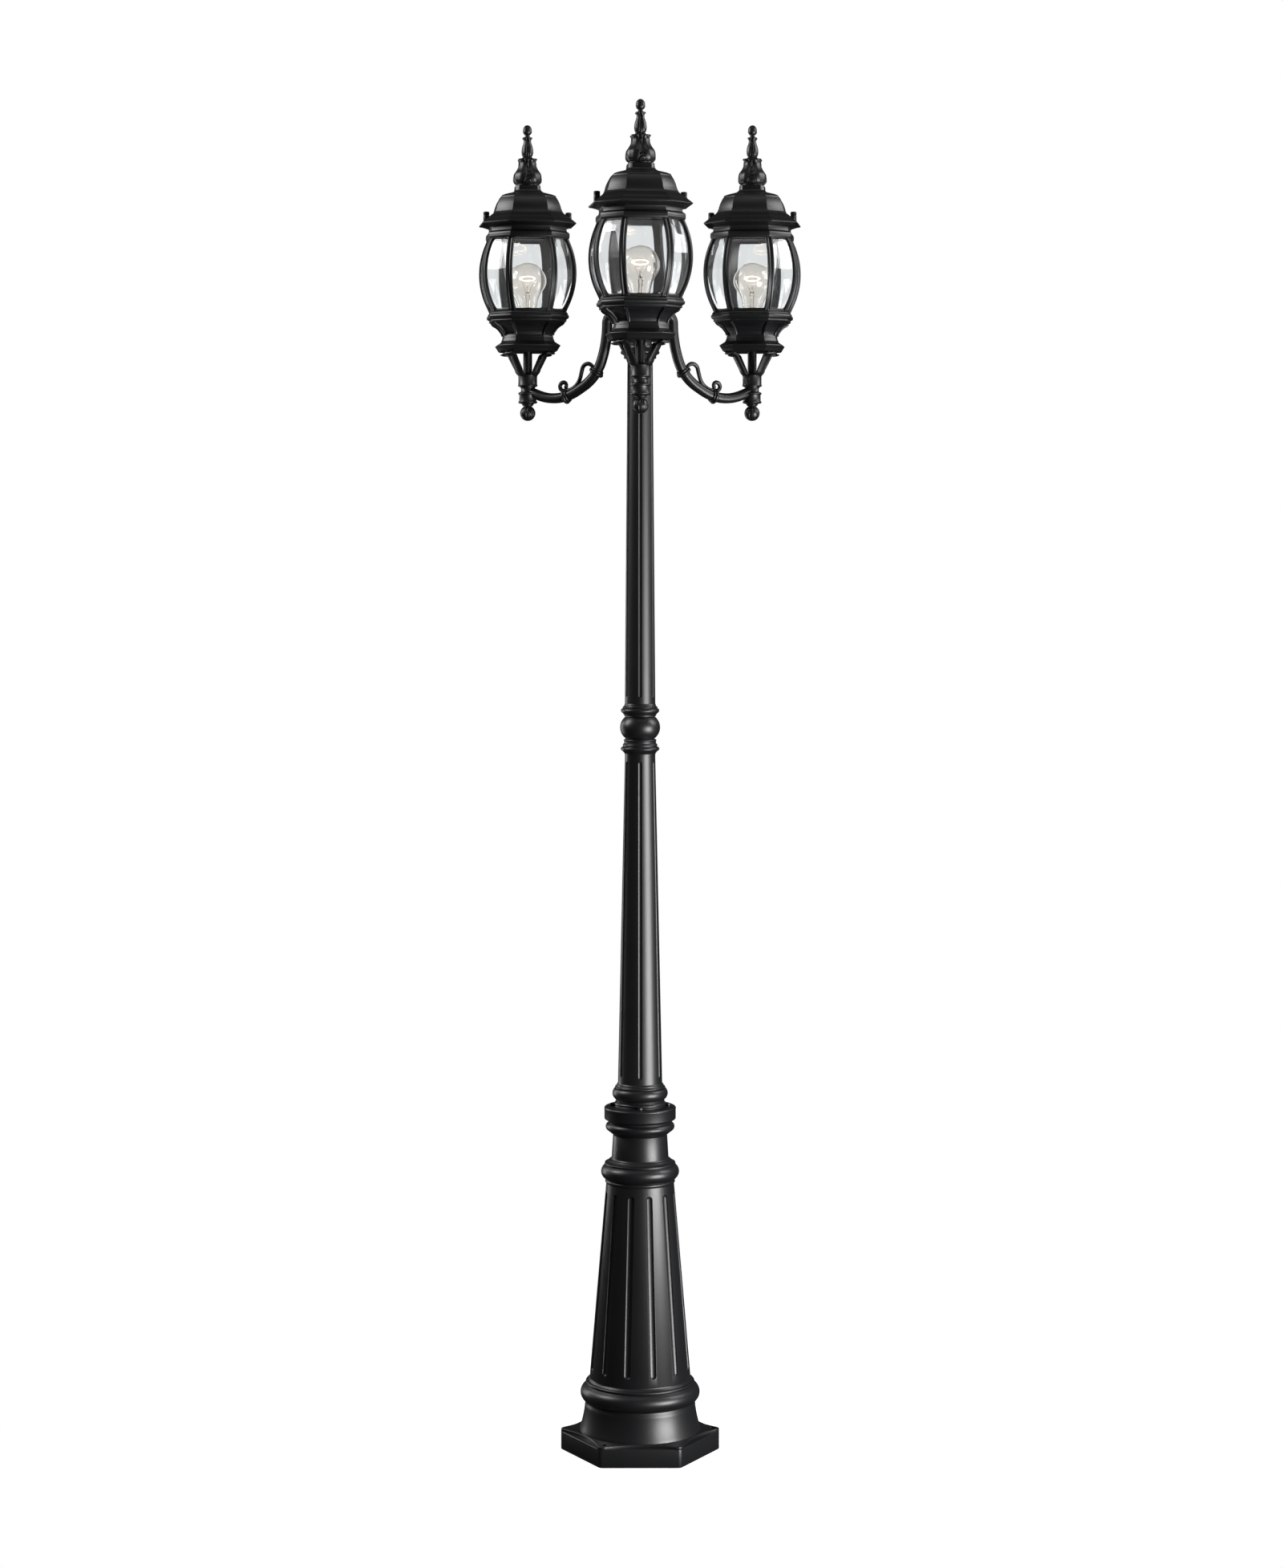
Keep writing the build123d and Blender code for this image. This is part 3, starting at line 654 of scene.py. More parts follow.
# ---------------------------------------------------------------- post
class LAMPPOST_OT_base(Step, bpy.types.Operator):
    """Base casting: six-sided foot, scooped tier, mouldings and fluted cone"""

    bl_idname = "lamp_post.base"
    bl_label = "Base casting"

    def build(self, sizes):
        foot = disc(FOOT_REACH, 31.0, (0, 0, 0), 6, 30.0)
        self.round_corners(foot)
        soften(foot, 1.6, 3, 40.0)
        tier = disc(FOOT_REACH, 6.5, (0, 0, 29.0), 6, 30.0)
        self.round_corners(tier)
        flat, depth, tip = FOOT_REACH * cos(radians(30)), 12.0, 8.0
        half = FOOT_REACH / 2 - tip
        scoop = (half**2 + depth**2) / (2 * depth)
        for n in range(6):
            cut(tier, disc(scoop, 20.0, (*polar(flat - depth + scoop, 30 + 60 * n), 22.0), 128))
        soften(tier, 1.5, 3, 30.0)
        body = turned([
            (0, 20), (102.0, 20), (101.8, 36), (92.6, 79, -1.4), (91.2, 81.5), (91.0, 84), (91.5, 112, 9.0),
            (90.2, 113.2), (91.0, 114.6), (89.6, 118.6, 1.0), (86.2, 120.6, -0.6), (84.6, 125.0, -0.8),
            (56.8, 451.0), (57.6, 452.2), (57.9, 456.4, 0.7), (57.0, 457.4), (58.3, 458.6),
            (58.8, 482.0, 6.8),
            (59.0, 483.0), (58.8, 486.0, 0.4), (51.5, 491.0, -0.5), (47.6, 495.5, -1.2), (45.4, 531.0),
            (46.6, 534.0, -0.8), (54.0, 540.0), (54.5, 552.0, 3.4), (53.2, 553.2), (53.6, 556.0),
            (57.4, 558.4),
            (59.7, 560.6, 0.6), (59.7, 575.5), (58.6, 579.4, 0.8), (56.0, 580.6), (0, 580.6),
        ], sizes.post_steps)
        hollow = 97.0
        cavity = turned([
            (0, -5), (hollow, -5), (80.5, 125), (41.5, 484), (41.5, 574.6), (52.3, 574.6), (52.3, 590),
            (0, 590),
        ], sizes.post_steps)
        cut(body, cavity)
        body.rotation_euler = (0, 0, radians(1.3))  # no seam of the body runs down the middle of a flute
        settle(body)
        fluted(body, 12, (84.6, 125.0), (56.8, 451.0), sizes.flute_width, 3.0, 13.0)
        cut(foot, disc(hollow, 60.0, (0, 0, -10.0), sizes.post_steps))
        cut(tier, disc(hollow, 60.0, (0, 0, 0), sizes.post_steps))
        for n in range(3):
            for layer in (foot, tier):
                cut(layer, disc(ANCHOR_HOLE, 60.0, (*polar(ANCHOR_REACH, 120 * n), -5.0), 32))
        dress(joined(body, foot, tier), "base_casting_piece", *CAST, "base_casting")

    @staticmethod
    def round_corners(prism):
        """Rounds the upright corners of the six-sided prism."""
        pick(prism)
        bpy.ops.object.mode_set(mode="EDIT")
        bpy.ops.mesh.select_mode(type="EDGE")
        bpy.ops.mesh.select_all(action="DESELECT")
        bpy.ops.object.mode_set(mode="OBJECT")
        points = prism.data.vertices
        for edge in prism.data.edges:
            a, b = (points[i].co for i in edge.vertices)
            edge.select = abs(a.z - b.z) > 1 * MM
        bpy.ops.object.mode_set(mode="EDIT")
        bpy.ops.mesh.bevel(offset=4.4 * MM, segments=6, affect="EDGES")
        close()


class LAMPPOST_OT_columns(Step, bpy.types.Operator):
    """Flanged lower column, ball coupling and upper column, both columns fluted"""

    bl_idname = "lamp_post.columns"
    bl_label = "Columns and coupling"

    def build(self, sizes):
        steps = sizes.post_steps
        foot, crown = span("lower_column")
        lower = turned(raised(foot, [
            (33.0, 0), (52.0, 0), (52.0, 4.7), (51.0, 5.7, 0.3), (43.0, 5.7), (42.2, 7.5, 0.3),
            (42.4, 12.0, 1.0), (40.6, 13.2), (40.8, 15.6), (40.2, 17.0, 0.4), (42.5, 18.5),
            (43.0, 35.5, 3.6), (41.0, 36.2), (41.4, 39.0, 0.8), (39.0, 42.5, -0.8), (37.0, 45.7, -0.4),
            (25.3, 592.2), (25.6, 594.0), (27.6, 598.0, -0.6), (29.4, 600.4), (31.2, 601.6, 0.4),
            (31.6, 605.6, 0.9), (29.6, 607.0), (28.4, 608.2, -0.4), (28.4, 611.4, 0.6), (26.8, 613.0),
        ]) + [(26.5, crown), (20.3, crown), (33.0, foot)], steps)
        fluted(lower, 6, (37.0, foot + 45.7), (25.3, foot + 592.2), 7.0, 1.9, 9.0)
        dress(lower, "lower_column_piece", *CAST, "lower_column")

        start, end = low("ball_coupling") + SPIGOT, high("ball_coupling") - SPIGOT
        coupling = turned(raised(start, [
            (11.0, -SPIGOT), (20.0, -SPIGOT), (20.0, 0), (26.4, 0), (27.3, 1.8, 0.5), (25.6, 3.2),
            (24.0, 4.2),
            (24.6, 40.8, 9.1), (26.6, 41.6, -0.3), (27.6, 44.5, -0.6), (28.0, 45.6), (30.8, 48.0),
            (31.0, 53.5, 1.1), (28.4, 55.4), (28.8, 57.2, 0.5), (26.2, 60.6, -0.7),
        ]) + raised(end, [
            (25.4, 0), (19.8, 0), (19.8, SPIGOT), (11.0, SPIGOT),
        ]) + [(11.0, start - SPIGOT)], steps)
        dress(coupling, "ball_coupling_piece", *CAST, "ball_coupling")

        foot, top = span("upper_column")
        upper = turned([(20.3, foot), (25.4, foot), (20.9, top), (16.3, top), (20.3, foot)], steps)
        fluted(upper, 6, (25.4, foot), (20.9, top), 6.4, 1.7, 10.0)
        dress(upper, "upper_column_piece", *CAST, "upper_column")


class LAMPPOST_OT_flange_bolts(Step, bpy.types.Operator):
    """Four hexagon bolts with washers that hold the column's flange down in the cup"""

    bl_idname = "lamp_post.flange_bolts"
    bl_label = "Flange bolts"

    def build(self, sizes):
        seat = low("lower_column") + 5.7
        washer = turned(raised(seat, [(0, 0), (4.9, 0), (4.9, 0.9), (0, 0.9)]), 32)
        head = disc(4.4, 3.1, (0, 0, seat + 0.8), 6)
        soften(head, 0.4, 2)
        cut(head, disc(2.2, 2.0, (0, 0, seat + 3.4), 24))
        bolt = joined(washer, head)
        bolt_circle, stray = 47.0, 17
        for n in range(4):
            twin = copied(bolt, stray * n, (*polar(bolt_circle, 90 * n), 0))
            dress(twin, f"flange_bolt_{n + 1}", "bolt", *CAST[1:])
        bpy.data.objects.remove(bolt)


class LAMPPOST_OT_hub(Step, bpy.types.Operator):
    """Hub with its ring, sleeve and drum, and the cap on top"""

    bl_idname = "lamp_post.hub"
    bl_label = "Hub and cap"

    def build(self, sizes):
        foot, top = low("hub") + SPIGOT, high("hub")
        steps = sizes.post_steps
        hub = turned(raised(foot, [
            (11.0, -SPIGOT), (15.8, -SPIGOT), (15.8, 0), (25.4, 0), (26.8, 2.2, 0.6), (26.8, 5.0),
            (30.6, 7.4, -0.4), (31.2, 12.6, 1.3), (29.0, 14.4), (22.0, 16.4, -1.0), (19.5, 22.0, -1.0),
            (19.5, 46.0), (21.5, 51.0, -1.0), (27.0, 58.0, -1.2), (27.5, 60.0, 0.3),
        ]) + [(27.5, top - 1), (26.5, top, 0.3), (11.0, top), (11.0, foot - SPIGOT)], steps)
        pocket = 24.7
        for heading, _ in LANTERNS.values():
            socket = disc(9.5, 12.0, (0, 0, -6.0), 8, 22.5)
            socket.rotation_euler = (0, radians(90), 0)
            settle(socket)
            x, y = polar(pocket, heading)
            socket.rotation_euler = (0, 0, radians(heading))
            socket.location = (x * MM, y * MM, (top - ARM_DROP) * MM)
            cut(hub, settle(socket))
        dress(hub, "hub_casting_piece", *CAST, "hub")
        foot = low("hub_cap")
        cap = turned(raised(foot, [
            (0, 0), (25.2, 0), (25.5, 1.6, 0.3), (24.4, 2.2), (16.0, 5.4, 1.4), (6.0, 6.4, 0.4),
            (0, 7.0, 0.2),
        ]), 72)
        dress(cap, "hub_cap_piece", *CAST, "hub_cap")


# ---------------------------------------------------------------- arms
class LAMPPOST_OT_arms(Step, bpy.types.Operator):
    """Swept arm with its scroll, collars and lantern socket, cast in one, three times round the hub"""

    bl_idname = "lamp_post.arms"
    bl_label = "Arms and scrolls"

    def build(self, sizes):
        # Out of the hub, down in a long bow, through the crook and up to the lantern.
        arm_z = high("hub") - ARM_DROP
        route = [(19.0, arm_z), (50.0, arm_z)]
        route += bent(route[-1], 0, 13.0, -90)
        route += bent(route[-1], -90, 181.3, 20, 2.5)
        crook = bent(route[-1], -70, 80.0, 40, 4)
        collar_high = (crook[3], -54)
        route += crook
        run = ahead(route[-1], 13.5, -30)
        route += [run] + bent(run, -30, 90.0, 50, 4)
        left = REACH - 6.7 - route[-1][0]
        route.append((route[-1][0] + left, route[-1][1] + left * sin(radians(20)) / cos(radians(20))))
        collar_low = (bent(run, -30, 90.0, 16, 4)[-1], -14)
        wide = 8.5 / cos(radians(22.5))
        octagon = [polar(wide, 22.5 + 45 * n) for n in range(8)]
        bar = swept([(x, 0, z) for x, z in route], octagon)
        soften(bar, 1.8, 3, 25.0)
        parts = [bar]

        # The scroll: a curl on the belly of the arm, a rise and a hook back to the upper collar.
        begin = (collar_low[0][0], collar_low[0][1] + 9.7)
        curl_at = (begin[0] + 4.0, begin[1])
        curl = bent(curl_at, 0, 7.0, 180)
        tip = bent(curl[-1], 180, 5.4, 120)
        up = bent(begin, 180, 30.0, -75)
        straight = ahead(up[-1], 14.0, 105)
        hook = bent(straight, 105, 11.0, 162)
        scroll_line = [*(curl + tip)[::-1], curl_at, begin, *up, straight, *hook]
        count = len(scroll_line)
        taper = [0.84 + 0.16 * min(1.0, n / 12, (count - 1 - n) / 8) for n in range(count)]
        parts.append(rod([(x, 0, z) for x, z in scroll_line], 3.5, taper, 16))
        for end in (scroll_line[0], scroll_line[-1]):
            parts.append(ball(3.6, (end[0], 0, end[1]), segments=20, rings=14))
        for (x, z), slope in (collar_low, collar_high):
            parts.append(ring(9.9, 3.1, (x, 0, z), (0, 90 - slope, 0)))
            back = ahead((x, z), -4.4, slope)
            parts.append(ring(9.0, 2.2, (back[0], 0, back[1]), (0, 90 - slope, 0)))

        foot = high("front_knob") + 0.3
        socket = turned(raised(foot, [
            (0, 0), (13.6, 0), (15.6, 1.2, 0.3), (15.9, 3.4, 0.4), (14.6, 4.8, -0.3), (14.4, 14.2),
            (15.7, 15.6, -0.2), (15.9, 17.6, 0.4), (14.2, 19.2), (11.6, 20.4, -0.5), (11.4, 25.6),
            (13.0, 26.8), (13.2, 28.2), (0, 28.2),
        ]), 56)
        pick(socket)
        socket.location = (REACH * MM, 0, 0)
        parts.append(settle(socket))
        pattern = joined(*parts)
        for side, (heading, _) in LANTERNS.items():
            dress(copied(pattern, heading), f"{side}_arm_casting", *CAST, f"{side}_arm")
        bpy.data.objects.remove(pattern)


class LAMPPOST_OT_mounts(Step, bpy.types.Operator):
    """Under each lantern: fluted ball knob, strap cylinder, four straps and stem"""

    bl_idname = "lamp_post.mounts"
    bl_label = "Knobs, straps and stems"

    def build(self, sizes):
        foot, top = span("front_knob")
        radius = 13.0
        knob = ball(radius, (0, 0, foot + radius), segments=72, rings=40)
        bow = [(x, 0, foot + radius + z) for x, z in (polar(13.6, t) for t in range(-55, 56, 10))]
        groove = rod(bow, 1.35, None, 10)
        cut(knob, joined(*[copied(groove, 30 * n + 15) for n in range(12)]))
        bpy.data.objects.remove(groove)
        neck = turned(raised(foot, [
            (0, 20.0), (7.6, 20.0), (6.8, 24.6), (8.8, 25.6), (9.2, 27.2, 0.4),
        ]) + raised(top, [(10.6, -0.6), (10.6, 0), (0, 0)]), 56)
        on_each_lantern(joined(tidy_mesh(knob), neck), "ball_knob", *CAST, "knob")

        foot, cup_h = low("front_strap_basket"), 21.8
        top = foot + cup_h
        cup = turned(raised(foot, [
            (0, 0), (14.8, 0), (16.3, 1.0, 0.3), (16.5, 2.6, 0.4), (15.9, 3.8), (15.9, 17.0),
            (16.4, 18.2, 0.2), (16.2, 19.8, 0.4), (13.0, cup_h, 0.6), (8.3, cup_h), (8.3, 11.8), (0, 11.8),
        ]), 56)
        rise, sink = 35.8, 2.5
        low_z, high_z = top - sink, top + rise - sink
        line = outline([
            *raised(low_z, [(8, 0), (11, 0), (22, 9, 2.4)]),
            *raised(high_z, [(35, -7), (45, -0.2, -2.0), (50.5, 0)]),
        ], 8)
        half = [(6.2, -1.6), (6.2, 1.8), (5.4, 2.5), (4.2, 2.5), (3.2, 1.3)]
        section = [*half, *[(-x, y) for x, y in half[::-1]], (-4.6, -2.4), (4.6, -2.4)]
        strap = swept([(x, 0, z) for x, z in line], section)
        lug = ball(3.3, (50.0, 0, high_z - 0.6), (1, 3.61, 0.7225), 20, 12)
        strap = joined(strap, lug)
        straps = [copied(strap, 45 + 90 * n) for n in range(4)]
        bpy.data.objects.remove(strap)
        on_each_lantern(joined(cup, *straps), "strap_basket_casting", *CAST, "strap_basket")

        foot, top = span("front_stem")
        stem = turned([(0, foot), (7.6, foot), (7.6, top - 1), (6.8, top), (0, top)], 40)
        on_each_lantern(stem, "stem_tube", *CAST, "stem")


# ---------------------------------------------------------------- lanterns
class LAMPPOST_OT_pans(Step, bpy.types.Operator):
    """Eight-sided pan under each cage, with ribs up its corners"""

    bl_idname = "lamp_post.pans"
    bl_label = "Pans"

    def build(self, sizes):
        z, top = span("front_pan")
        soft = sizes.edge_softness
        pan = eight_sided(raised(z, [
            (8.3, 0), (45.5, 0), (47.5, 1.0), (52.0, 8.6), (51.6, 11.4, 1.0), (45.5, 15.5),
            (42.6, 20.0, -0.8), (41.2, 22.5), (41.2, 25.0), (40.0, 28.0), (44.0, 36.0, -0.7),
            (55.6, 46.0, -1.2), (58.0, 48.6), (61.6, 49.6), (62.4, 52.6, 0.8), (63.4, 54.4),
            (65.9, 55.4), (66.3, 56.4), (66.3, 60.6, 0.4), (64.4, 62.0), (64.6, 63.8, 0.4),
        ]) + [(63.6, top), (53.0, top)] + raised(z, [
            (53.0, 48.0), (36.0, 28.0), (30.0, 25.0), (8.3, 25.0),
        ]), closed=True)
        soften(pan, soft, 2)
        rib_line = outline(raised(z, [
            (40.4, 27.5), (44.4, 36.0, -0.7), (55.8, 46.0, -1.2), (58.5, 49.0),
        ]), 6)
        ribs = [rod([corner(n, a, h) for a, h in rib_line], 2.3, None, 12) for n in range(8)]
        on_each_lantern(joined(pan, *ribs), "pan_casting", *CAST, "pan")


class LAMPPOST_OT_cages(Step, bpy.types.Operator):
    """Cage of eight curved bars between a sill and a cornice, with the lower part of the roof's brim"""

    bl_idname = "lamp_post.cages"
    bl_label = "Cages"

    def build(self, sizes):
        z = low("front_cage")
        head = z + CAGE_HEAD
        top = high("front_cage")
        soft = sizes.edge_softness
        cornice = eight_sided(raised(head, [
            (59.4, -4.6), (65.4, -4.6), (67.2, -3.2), (67.8, 1.4, 0.3), (67.2, 6.0, 0.3), (64.8, 7.6),
            (63.2, 10.0, -0.4), (62.8, 14.6), (65.0, 17.0, -0.5),
        ]) + raised(top, [
            (74.0, -8.5), (77.4, -8.2), (78.8, -5.9, 0.5), (71.9, 0), (57.5, 0),
        ]) + raised(head, [(57.5, 4)]), closed=True)
        soften(cornice, soft, 2)
        for x in (-SCREW_REACH, SCREW_REACH):
            combine(cornice, soften(disc(SCREW_PAD, 5.4, (x, 0, top - 5.4), 48), 0.4, 2), "UNION")
            cut(cornice, disc(SCREW_HOLE, 30.0, (x, 0, top - 5.2), 24))
        sill = eight_sided(raised(z, [
            (54.6, 0), (61.5, 0), (62.1, 3.6), (61.0, 4.8), (54.6, 4.8),
        ]), closed=True)
        soften(sill, 0.5, 2)
        bar = self.bar(z, head)
        bars, wide = [], 60.0
        for n in range(8):
            heading = 22.5 + 45 * n
            crease, plain = corner(n, wide, 0), polar(wide / cos(radians(22.5)), heading)
            bars.append(copied(bar, heading, (crease[0] - plain[0], crease[1] - plain[1], 0)))
        bpy.data.objects.remove(bar)
        on_each_lantern(joined(cornice, sill, *bars), "cage_casting", *CAST, "cage")

    @staticmethod
    def bar(z, head):
        """One corner bar towards +X, bulging with the glass, its ends a little wider."""
        line = outline([(61.5, z + 1.0), (64.3, head - 0.5, 16.4)], 24)
        points = [((a - 4.5) / cos(radians(22.5)), 0, h) for a, h in line]
        last = len(points) - 1
        flare = [1.0 + 0.28 * max(0.0, 1 - k / 2.2) ** 2 + 0.28 * max(0.0, 1 - (last - k) / 2.2) ** 2
                 for k in range(last + 1)]
        half = [(3.0, -5.2), (3.3, -4.2), (3.3, -2.4), (2.2, -0.9)]
        section = [*half, *[(out, -across) for out, across in half[::-1]],
                   (-2.2, 5.2), (-3.1, 4.2), (-3.1, -4.2), (-2.2, -5.2)]
        bar = swept(points, [(across, -out) for out, across in section], flare, "MINIMUM")
        return soften(bar, 0.45, 2, 30.0)


class LAMPPOST_OT_panes(Step, bpy.types.Operator):
    """Eight curved panes to a lantern, each with a wide bevel all round"""

    bl_idname = "lamp_post.panes"
    bl_label = "Bevelled panes"

    def build(self, sizes):
        for kind, first in (("wide", 0), ("narrow", 45)):
            pane = self.pane(kind == "narrow")
            panes = [copied(pane, first + 90 * n) for n in range(4)]
            bpy.data.objects.remove(pane)
            on_each_lantern(
                joined(*panes), f"bevelled_panes_{kind}", "pane", "post", "pane_glass", f"panes_{kind}",
                angle=14.0)

    @staticmethod
    def pane(narrow):
        """One pane facing +X: a sheet bent along the bulge, with bevelled borders outside."""
        bevel = bpy.context.scene.lamp_post_sizes.pane_bevel
        foot, seat = low("front_cage"), 5.3
        z, head = foot + seat, foot + CAGE_HEAD - seat
        line = outline([(61.5, foot), (64.3, foot + CAGE_HEAD, 16.4)], 48)

        def facet(height):
            """Distance of the bars' outer faces and half the glass's width at that height."""
            for (a, h), (b, k) in zip(line, line[1:]):
                if h <= height <= k:
                    a = a + (b - a) * (height - h) / (k - h)
                    break
            half = a * MITRE - CORNER_STEP if narrow else a * MITRE + CORNER_SHIFT
            return a + (CORNER_STEP if narrow else 0.0), half - GLASS_INSET

        rows, columns = 26, 8
        bpy.ops.object.select_all(action="DESELECT")
        bpy.ops.mesh.primitive_grid_add(x_subdivisions=columns, y_subdivisions=rows, size=2)
        sheet = bpy.context.object
        middle = head - z - 2 * bevel
        heights = [z, z + bevel] + [z + bevel + middle * n / (rows - 2) for n in range(1, rows - 2)]
        heights += [head - bevel, head]
        face, back, edge_drop = 2.0, 5.0, 0.9
        for vertex in sheet.data.vertices:
            u = round((vertex.co.x + 1) / 2 * columns)
            v = round((vertex.co.y + 1) / 2 * rows)
            height = heights[v]
            out, half = facet(height)
            inner = half - bevel
            across = -inner + 2 * inner * (u - 1) / (columns - 2)
            if u in (0, columns):
                across = half if u else -half
            border = u in (0, columns) or v in (0, rows)
            vertex.co = ((out - face - (edge_drop if border else 0.0)) * MM, across * MM, height * MM)
        edit(sheet)
        bpy.ops.mesh.extrude_region_move(TRANSFORM_OT_translate={"value": (-1.3 * MM, 0, 0)})
        close()
        for vertex in sheet.data.vertices:
            if vertex.select:
                out, _ = facet(vertex.co.z / MM)
                vertex.co.x = (out - back) * MM
        return tidy_mesh(sheet)


class LAMPPOST_OT_roofs(Step, bpy.types.Operator):
    """Eight-sided roof with the upper part of its brim, dome and collar, and its two thumb screws"""

    bl_idname = "lamp_post.roofs"
    bl_label = "Roofs"

    def build(self, sizes):
        z, top = span("front_roof")
        soft = sizes.edge_softness
        lid = eight_sided(raised(z, [
            (0, 38.0), (37.0, 38.0), (52.8, 15.0), (57.5, 0), (71.5, 0), (61.8, 8.2), (58.2, 11.0, -0.5),
            (56.4, 13.4, -0.2), (54.4, 18.2), (46.4, 37.4, 1.0), (43.2, 41.0, 0.7), (38.6, 42.8),
            (25.6, 46.4), (24.4, 47.4), (21.2, 51.6, -0.6),
        ]) + raised(top, [(20.6, -0.6), (19.8, 0), (5.4, 0), (5.4, -9.2), (0, -9.2)]))
        soften(lid, soft, 2)
        for x in (-SCREW_REACH, SCREW_REACH):
            combine(lid, soften(disc(SCREW_PAD, 8.4, (x, 0, z), 48), 0.4, 2), "UNION")
            cut(lid, disc(SCREW_HOLE, 20.0, (x, 0, z - 5.0), 24))
        on_each_lantern(lid, "roof_lid", *CAST_LID, "roof")

        foot = low("front_thumb_screw_a")
        screw = turned(raised(foot, [
            (0, 0), (1.9, 0), (2.4, 0.6), (2.4, 14.0), (4.6, 14.0), (5.1, 14.4), (5.1, 18.6),
            (4.3, 19.6, 0.2), (2.6, 20.0), (0, 20.0),
        ]), 48)
        knurl = disc(0.45, 5.0, (5.2, 0, foot + 14.6), 6)
        cut(screw, joined(*[copied(knurl, 22.5 * n) for n in range(16)]))
        bpy.data.objects.remove(knurl)
        for letter, x in (("a", -SCREW_REACH), ("b", SCREW_REACH)):
            on_each_lantern(
                copied(screw, 0, (x, 0, 0)), f"knurled_screw_{letter}", "bolt", "{side}_screw_" + letter,
                "screw_metal", f"thumb_screw_{letter}")
        bpy.data.objects.remove(screw)


class LAMPPOST_OT_finials(Step, bpy.types.Operator):
    """Leafy finial: an urn of curling leaves, a smaller bud above it and a ball"""

    bl_idname = "lamp_post.finials"
    bl_label = "Finials"

    def build(self, sizes):
        foot = low("front_finial") + 9.0
        urn = [(19.4, 2.8), (21.4, 4.6, 0.4), (22.6, 11.0, 0.9), (20.6, 20.0, 0.7), (13.4, 32.0, -0.8),
               (11.8, 38.0, -0.4), (12.6, 44.0)]
        bud = [(7.4, 48.6), (8.6, 58.6, 0.7), (6.4, 68.0, 0.5), (4.6, 75.0, -0.3), (4.8, 82.0)]
        core = turned([
            (0, foot - 9), (4.6, foot - 9), (4.6, foot), (19.2, foot), (19.9, foot + 1.2, 0.3),
            *raised(foot, urn), (9.0, foot + 46.6), *raised(foot, bud), (3.6, foot + 84.6, -0.2),
            (7.3, foot + 93.0, 1.7), (4.4, foot + 99.8, 1.0), (0, foot + 101.6, 0.6),
        ], 48)
        parts = [core]
        big = [(21.2, 3.2), (24.0, 11.4, 0.9), (22.0, 21.0, 0.8), (15.4, 31.6, -0.7), (13.8, 38.0, -0.4),
               (16.8, 44.6, -0.9), (18.4, 43.6, 0.7), (17.6, 40.6, 0.9)]
        small = [(8.2, 49.4), (9.6, 58.6, 0.7), (7.4, 68.0, 0.5), (5.8, 75.0, -0.3), (7.8, 80.6, -0.5),
                 (9.2, 80.0, 0.4), (8.8, 77.8, 0.5)]
        for line, widths in (
            (big, (11.0, 15.0, 14.4, 9.6, 7.6, 6.8, 6.0, 3.0)),
            (small, (4.4, 5.6, 4.4, 3.2, 3.4, 3.0, 1.6)),
        ):
            leaf = self.leaf(raised(foot, line), widths)
            parts += [copied(leaf, 45 + 90 * n) for n in range(4)]
            bpy.data.objects.remove(leaf)
        skin = outline(urn, 4)
        for half, rise, thick in ((14.0, 20.6, 1.3), (10.6, 15.0, 1.2), (7.2, 9.4, 1.1), (3.6, 5.0, 1.0)):
            parts += self.arches(skin, foot, half, rise, thick)
        parts += self.arches(outline(bud, 4), foot, 4.2, 24.0, 0.7, 49.0)
        for n in range(4):
            parts.append(ball(1.9, (*polar(13.6, 90 * n), foot + 32.0), (1, 1, 5.76), 14, 10))
        on_each_lantern(joined(*parts), "leaf_finial", *CAST_LID, "finial", angle=50.0)

    @staticmethod
    def arches(skin, foot, half, rise, thick, start=3.0):
        """Four raised arches, one to each side, on a turned surface given by its (radius, height) points."""
        line = []
        for step in range(13):
            t = pi * step / 12
            height = start + rise * sin(t)
            radius = skin[-1][0]
            for (r, h), (s, k) in zip(skin, skin[1:]):
                if h <= height <= k:
                    radius = r + (s - r) * (height - h) / (k - h)
                    break
            swing = half * cos(t) / radius
            line.append(((radius + 0.5) * cos(swing), (radius + 0.5) * sin(swing), foot + height))
        arch = rod(line, thick, None, 8)
        arches = [copied(arch, 90 * n) for n in range(4)]
        bpy.data.objects.remove(arch)
        return arches

    @staticmethod
    def leaf(line, widths):
        """One leaf with a sunk midrib and a curled tip; widths gives its half width along the line."""
        path = outline(line, 4)
        rows, columns = len(path) - 1, 6
        bpy.ops.object.select_all(action="DESELECT")
        bpy.ops.mesh.primitive_grid_add(x_subdivisions=columns, y_subdivisions=rows, size=2)
        leaf = bpy.context.object
        for vertex in leaf.data.vertices:
            u = round((vertex.co.x + 1) / 2 * columns) / columns * 2 - 1
            row = round((vertex.co.y + 1) / 2 * rows)
            radius, height = path[row]
            place = row / rows * (len(widths) - 1)
            at = min(int(place), len(widths) - 2)
            half = widths[at] + (widths[at + 1] - widths[at]) * (place - at)
            swing = u * half / radius
            swell = half / 11.0 * (0.9 - 1.5 * u**2 - (1.3 if u == 0 else 0.0))
            vertex.co = ((radius + swell) * cos(swing) * MM, (radius + swell) * sin(swing) * MM, height * MM)
        tidy_mesh(leaf)
        modify(leaf, "SOLIDIFY", thickness=1.4 * MM, offset=0.0)
        modify(leaf, "SUBSURF", levels=1, render_levels=1)
        return leaf


